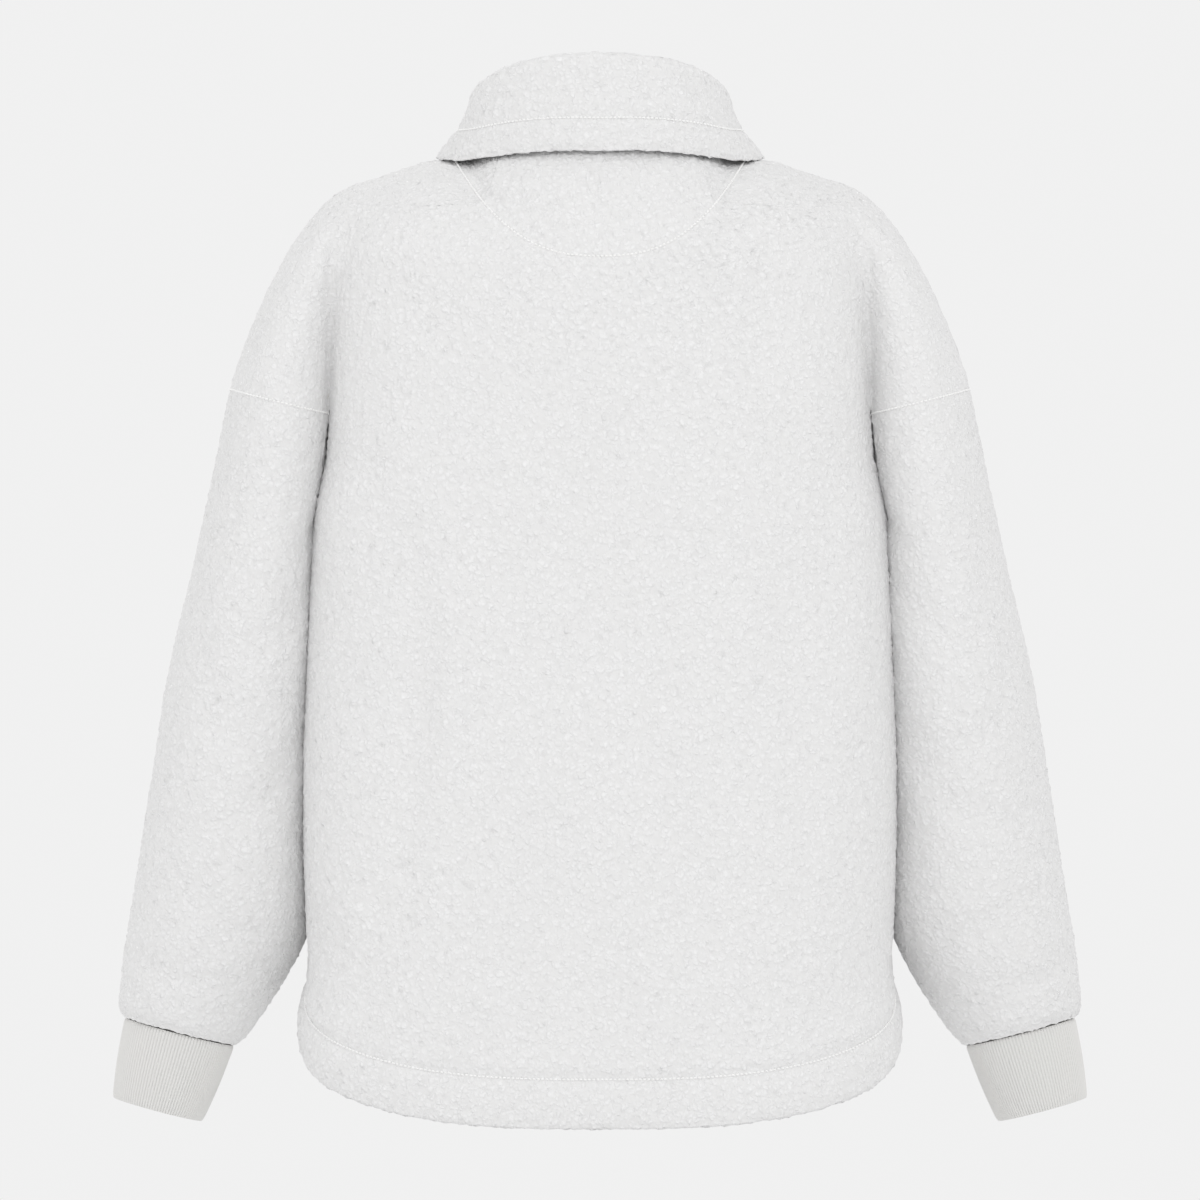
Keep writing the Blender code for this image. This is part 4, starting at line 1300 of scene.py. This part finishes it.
class PULLOVER_OT_collar(bpy.types.Operator):
    """Builds the fold-over collar"""

    bl_idname = "pullover.collar"
    bl_label = "Collar"

    def execute(self, context):
        check_scene()
        chosen = settings()
        grid, controls = collar_surface(chosen.wall)
        cloth = Cloth("collar_pile", chosen.wall, [grid], flip=True)
        for number in (0, 1):
            cloth.thin(number, -5)
        stitch = controls[COLLAR_STITCH_ROW] * CM
        relief = worked(cloth.points, [stitch, mirrored(stitch)], COLLAR_SEAM_SHARE)
        made = cloth.make(relief, cloth_finishes()[:1])
        dress(made, "collar")
        return {"FINISHED"}


class PULLOVER_OT_cuffs(bpy.types.Operator):
    """Builds the ribbed cuffs"""

    bl_idname = "pullover.cuffs"
    bl_label = "Cuffs"

    def execute(self, context):
        check_scene()
        chosen = settings()
        grid = cuff_surface(chosen.ribs, chosen.rib_rise)
        finish = knit_finish("rib_knit_fine", tuple(chosen.rib_colour), 420.0, 0.08)
        for name, side in SIDES:
            cloth = Cloth(f"cuff_{name}_rib", CUFF_WALL, [grid], (side,))
            made = cloth.make(np.zeros(len(cloth.points)), [finish])
            dress(made, f"cuff_{name}")
        return {"FINISHED"}


class PULLOVER_OT_sewing(bpy.types.Operator):
    """Sews the half-moon, the armholes, the collar, the hem and the zip's opening"""

    bl_idname = "pullover.sewing"
    bl_label = "Stitches"

    def execute(self, context):
        check_scene()
        pieces = bpy.data.objects
        back, front, collar = (
            pieces[name] for name in ("back_panel_pile", "front_panel_pile", "collar_pile"))
        moon = yoke_grid(True, [MOON_STITCH_STEP])[0] * CM
        runs = [(moon, back), (mirrored(moon), back)]
        armhole = sleeve_surface(armhole_loop())[1] * CM
        runs.append((armhole, pieces["sleeve_left_pile"]))
        runs.append((mirrored(armhole), pieces["sleeve_right_pile"]))
        for is_back, made in ((True, back), (False, front)):
            hem = hem_line(is_back) * CM
            runs += [(hem, made), (mirrored(hem), made)]
        stitch = collar_surface(settings().wall)[1][COLLAR_STITCH_ROW] * CM
        runs += [(stitch, collar), (mirrored(stitch), collar)]
        z = np.linspace(SLIT_STITCH_TOP_Z, SLIT_STITCH_END_Z, 60)
        beside = SLIT_HALF_WIDTH + STITCH_FROM_SLIT
        for x in (beside, -beside):
            runs.append((front_line(np.full_like(z, x), z) * CM, front))
        across = np.linspace(-beside, beside, 8)
        runs.append((front_line(across, np.full_like(across, z[-1])) * CM, front))
        sewn("sewing_thread_lines", runs)
        return {"FINISHED"}


def front_line(x, z, below=0.0):
    """Points of the front's face at given x and z, or a depth below it, in centimetres."""
    ahead = np.array([0.0, -1.0, 0.0])
    lower, depth, upper = (
        yoke_depth(np.abs(x), z + shift, False) for shift in (-SLOPE_STEP, 0.0, SLOPE_STEP))
    slope = (upper - lower) / (2 * SLOPE_STEP)
    inward = np.stack([np.zeros_like(z), np.ones_like(z), slope], axis=-1)
    inward /= np.linalg.norm(inward, axis=-1)[..., None]
    return np.stack([x, np.zeros_like(z), z], axis=-1) + depth[..., None] * ahead + below * inward


class PULLOVER_OT_zip(bpy.types.Operator):
    """Finishes the zip: tapes, slider, pull tab and stop"""

    bl_idname = "pullover.zip"
    bl_label = "Zip"

    def execute(self, context):
        check_scene()
        metal = metal_finish()
        for node in ("zip_slider", "zip_pull", "bottom_stop"):
            recoat(frame["nodes"][node], metal)
        tape = knit_finish("zip_tape_woven", (0.80, 0.79, 0.76), 1400.0, 0.5)
        x, z = np.meshgrid(
            np.linspace(TAPE_NEAR, TAPE_HALF_WIDTH, TAPE_COLUMNS + 1),
            np.linspace(TAPE_TOP_Z, TAPE_END_Z, TAPE_ROWS + 1))
        grid = front_line(x, z, TAPE_DEPTH)
        for name, side in SIDES:
            cloth = Cloth(f"zip_tape_{name}_woven", TAPE_WALL, [grid], (side,))
            cord = np.exp(-(((np.abs(cloth.points[:, 0]) / CM - CORD_X) / CORD_WIDTH) ** 2))
            made = cloth.make(CORD_RISE * cord, [tape])
            dress(made, f"zip_tape_{name}")
        dress(zip_teeth(metal), None)
        return {"FINISHED"}


def zip_teeth(metal):
    """Meshed teeth: blocks that narrow outwards, by turns from the left and the right tape."""
    pitch = settings().tooth_pitch / CM
    z = np.arange(TEETH_TOP_Z, TEETH_END_Z, -pitch / 2)
    side = np.where(np.arange(len(z)) % 2, 1.0, -1.0)
    middle = front_line(side * TOOTH_SHIFT, z, TAPE_DEPTH)
    ahead = front_line(side * TOOTH_SHIFT, z) - middle
    ahead /= np.linalg.norm(ahead, axis=1)[:, None]
    wide = np.array([1.0, 0.0, 0.0])
    down = np.cross(ahead, wide)
    corners = []
    for high, half_x, half_z in TOOTH_ROWS:
        for sx, sz in ((-1, -1), (1, -1), (1, 1), (-1, 1)):
            corners.append(middle + high * ahead + sx * half_x * wide + sz * half_z * down)
    points = np.stack(corners, axis=1) * CM
    number = np.arange(len(z) * 12).reshape(-1, 3, 4)
    faces = np.concatenate([wrapped_quads(number)[:, ::-1], number[:, 0, ::-1], number[:, 2]])
    return new_object("zip_teeth", points.reshape(-1, 3), faces.tolist(), [metal])


def recoat(node, finish):
    for place in node.material_slots:
        place.material = finish


class PULLOVER_OT_stage(bpy.types.Operator):
    """Sets the plain floor, the pale world behind the garment, the soft lights and the camera"""

    bl_idname = "pullover.stage"
    bl_label = "Stage"

    def execute(self, context):
        scene = context.scene
        for name in ("Cube", "Light", "Camera"):
            old = bpy.data.objects.get(name)
            if old:
                bpy.data.objects.remove(old)
        scene.view_settings.view_transform = "Standard"
        round_floor()
        world = bpy.data.worlds.get("World") or bpy.data.worlds.new("World")
        scene.world = world
        world.use_nodes = True
        sky = world.node_tree.nodes["Background"].inputs
        sky["Color"].default_value = (*settings().floor_colour, 1)
        sky["Strength"].default_value = 1.0
        for name, place, power in LAMPS:
            lamp(name, place, power)
        seen = bpy.data.cameras.new("camera")
        seen.sensor_width = SENSOR
        seen.lens = SENSOR * CAMERA_DISTANCE / FRAME_HEIGHT
        seen.clip_end = 50
        camera = bpy.data.objects.new("camera", seen)
        scene.collection.objects.link(camera)
        camera.location = (0, CAMERA_DISTANCE, FRAME_MIDDLE_Z)
        camera.rotation_euler = (math.pi / 2, 0, math.pi)
        scene.camera = camera
        return {"FINISHED"}


def round_floor():
    """Plain pale floor well below the hem: rings round a centre at one height."""
    colour = tuple(settings().floor_colour)
    made, tree, shader = base_material("studio_floor", colour, 0.95)
    tinted(tree, shader, colour, scaled(colour, 0.98), noise(tree, 3.0, 2.0))
    shader.inputs["Specular IOR Level"].default_value = 0.0
    angles = np.linspace(0, 2 * math.pi, FLOOR_POINTS + 1)[:-1]
    reach = np.array(FLOOR_RINGS)[:, None]
    across = reach * np.cos(angles)
    points = np.stack([across, reach * np.sin(angles), np.full_like(across, FLOOR_Z)], axis=-1)
    number = np.arange(across.size).reshape(across.shape)
    faces = wrapped_quads(number).tolist() + [number[0].tolist()]
    return new_object("studio_floor", points.reshape(-1, 3), faces, [made])


def lamp(name, place, power):
    """A soft square light aimed at the garment's middle."""
    light = bpy.data.lights.new(name, "AREA")
    light.size = LAMP_SIZE
    light.energy = power
    made = bpy.data.objects.new(name, light)
    bpy.context.scene.collection.objects.link(made)
    made.location = place
    aim = np.array([0.0, 0.0, LAMPS_AIM_Z]) - np.array(place)
    level = math.hypot(aim[0], aim[1])
    made.rotation_euler = (math.atan2(level, -aim[2]), 0, math.atan2(-aim[0], aim[1]))
    return made


class PULLOVER_PT_panel(bpy.types.Panel):
    """Sizes, colours and building steps of the pullover"""

    bl_label = "Pullover"
    bl_idname = "PULLOVER_PT_panel"
    bl_space_type = "VIEW_3D"
    bl_region_type = "UI"
    bl_category = "Pullover"

    def draw(self, context):
        layout = self.layout
        chosen = context.scene.pullover
        for name in PulloverSettings.__annotations__:
            layout.prop(chosen, name)
        for step in STEPS:
            layout.operator(step.bl_idname)


STEPS = (
    PULLOVER_OT_body,
    PULLOVER_OT_collar,
    PULLOVER_OT_cuffs,
    PULLOVER_OT_sewing,
    PULLOVER_OT_zip,
    PULLOVER_OT_stage,
)
CLASSES = (PulloverSettings, *STEPS, PULLOVER_PT_panel)


def register():
    for made in CLASSES:
        bpy.utils.register_class(made)
    bpy.types.Scene.pullover = bpy.props.PointerProperty(type=PulloverSettings)


def unregister():
    del bpy.types.Scene.pullover
    for made in reversed(CLASSES):
        bpy.utils.unregister_class(made)


def main():
    register()
    bpy.ops.pullover.body()
    bpy.ops.pullover.collar()
    bpy.ops.pullover.cuffs()
    bpy.ops.pullover.sewing()
    bpy.ops.pullover.zip()
    bpy.ops.pullover.stage()


if __name__ == "__main__":
    main()
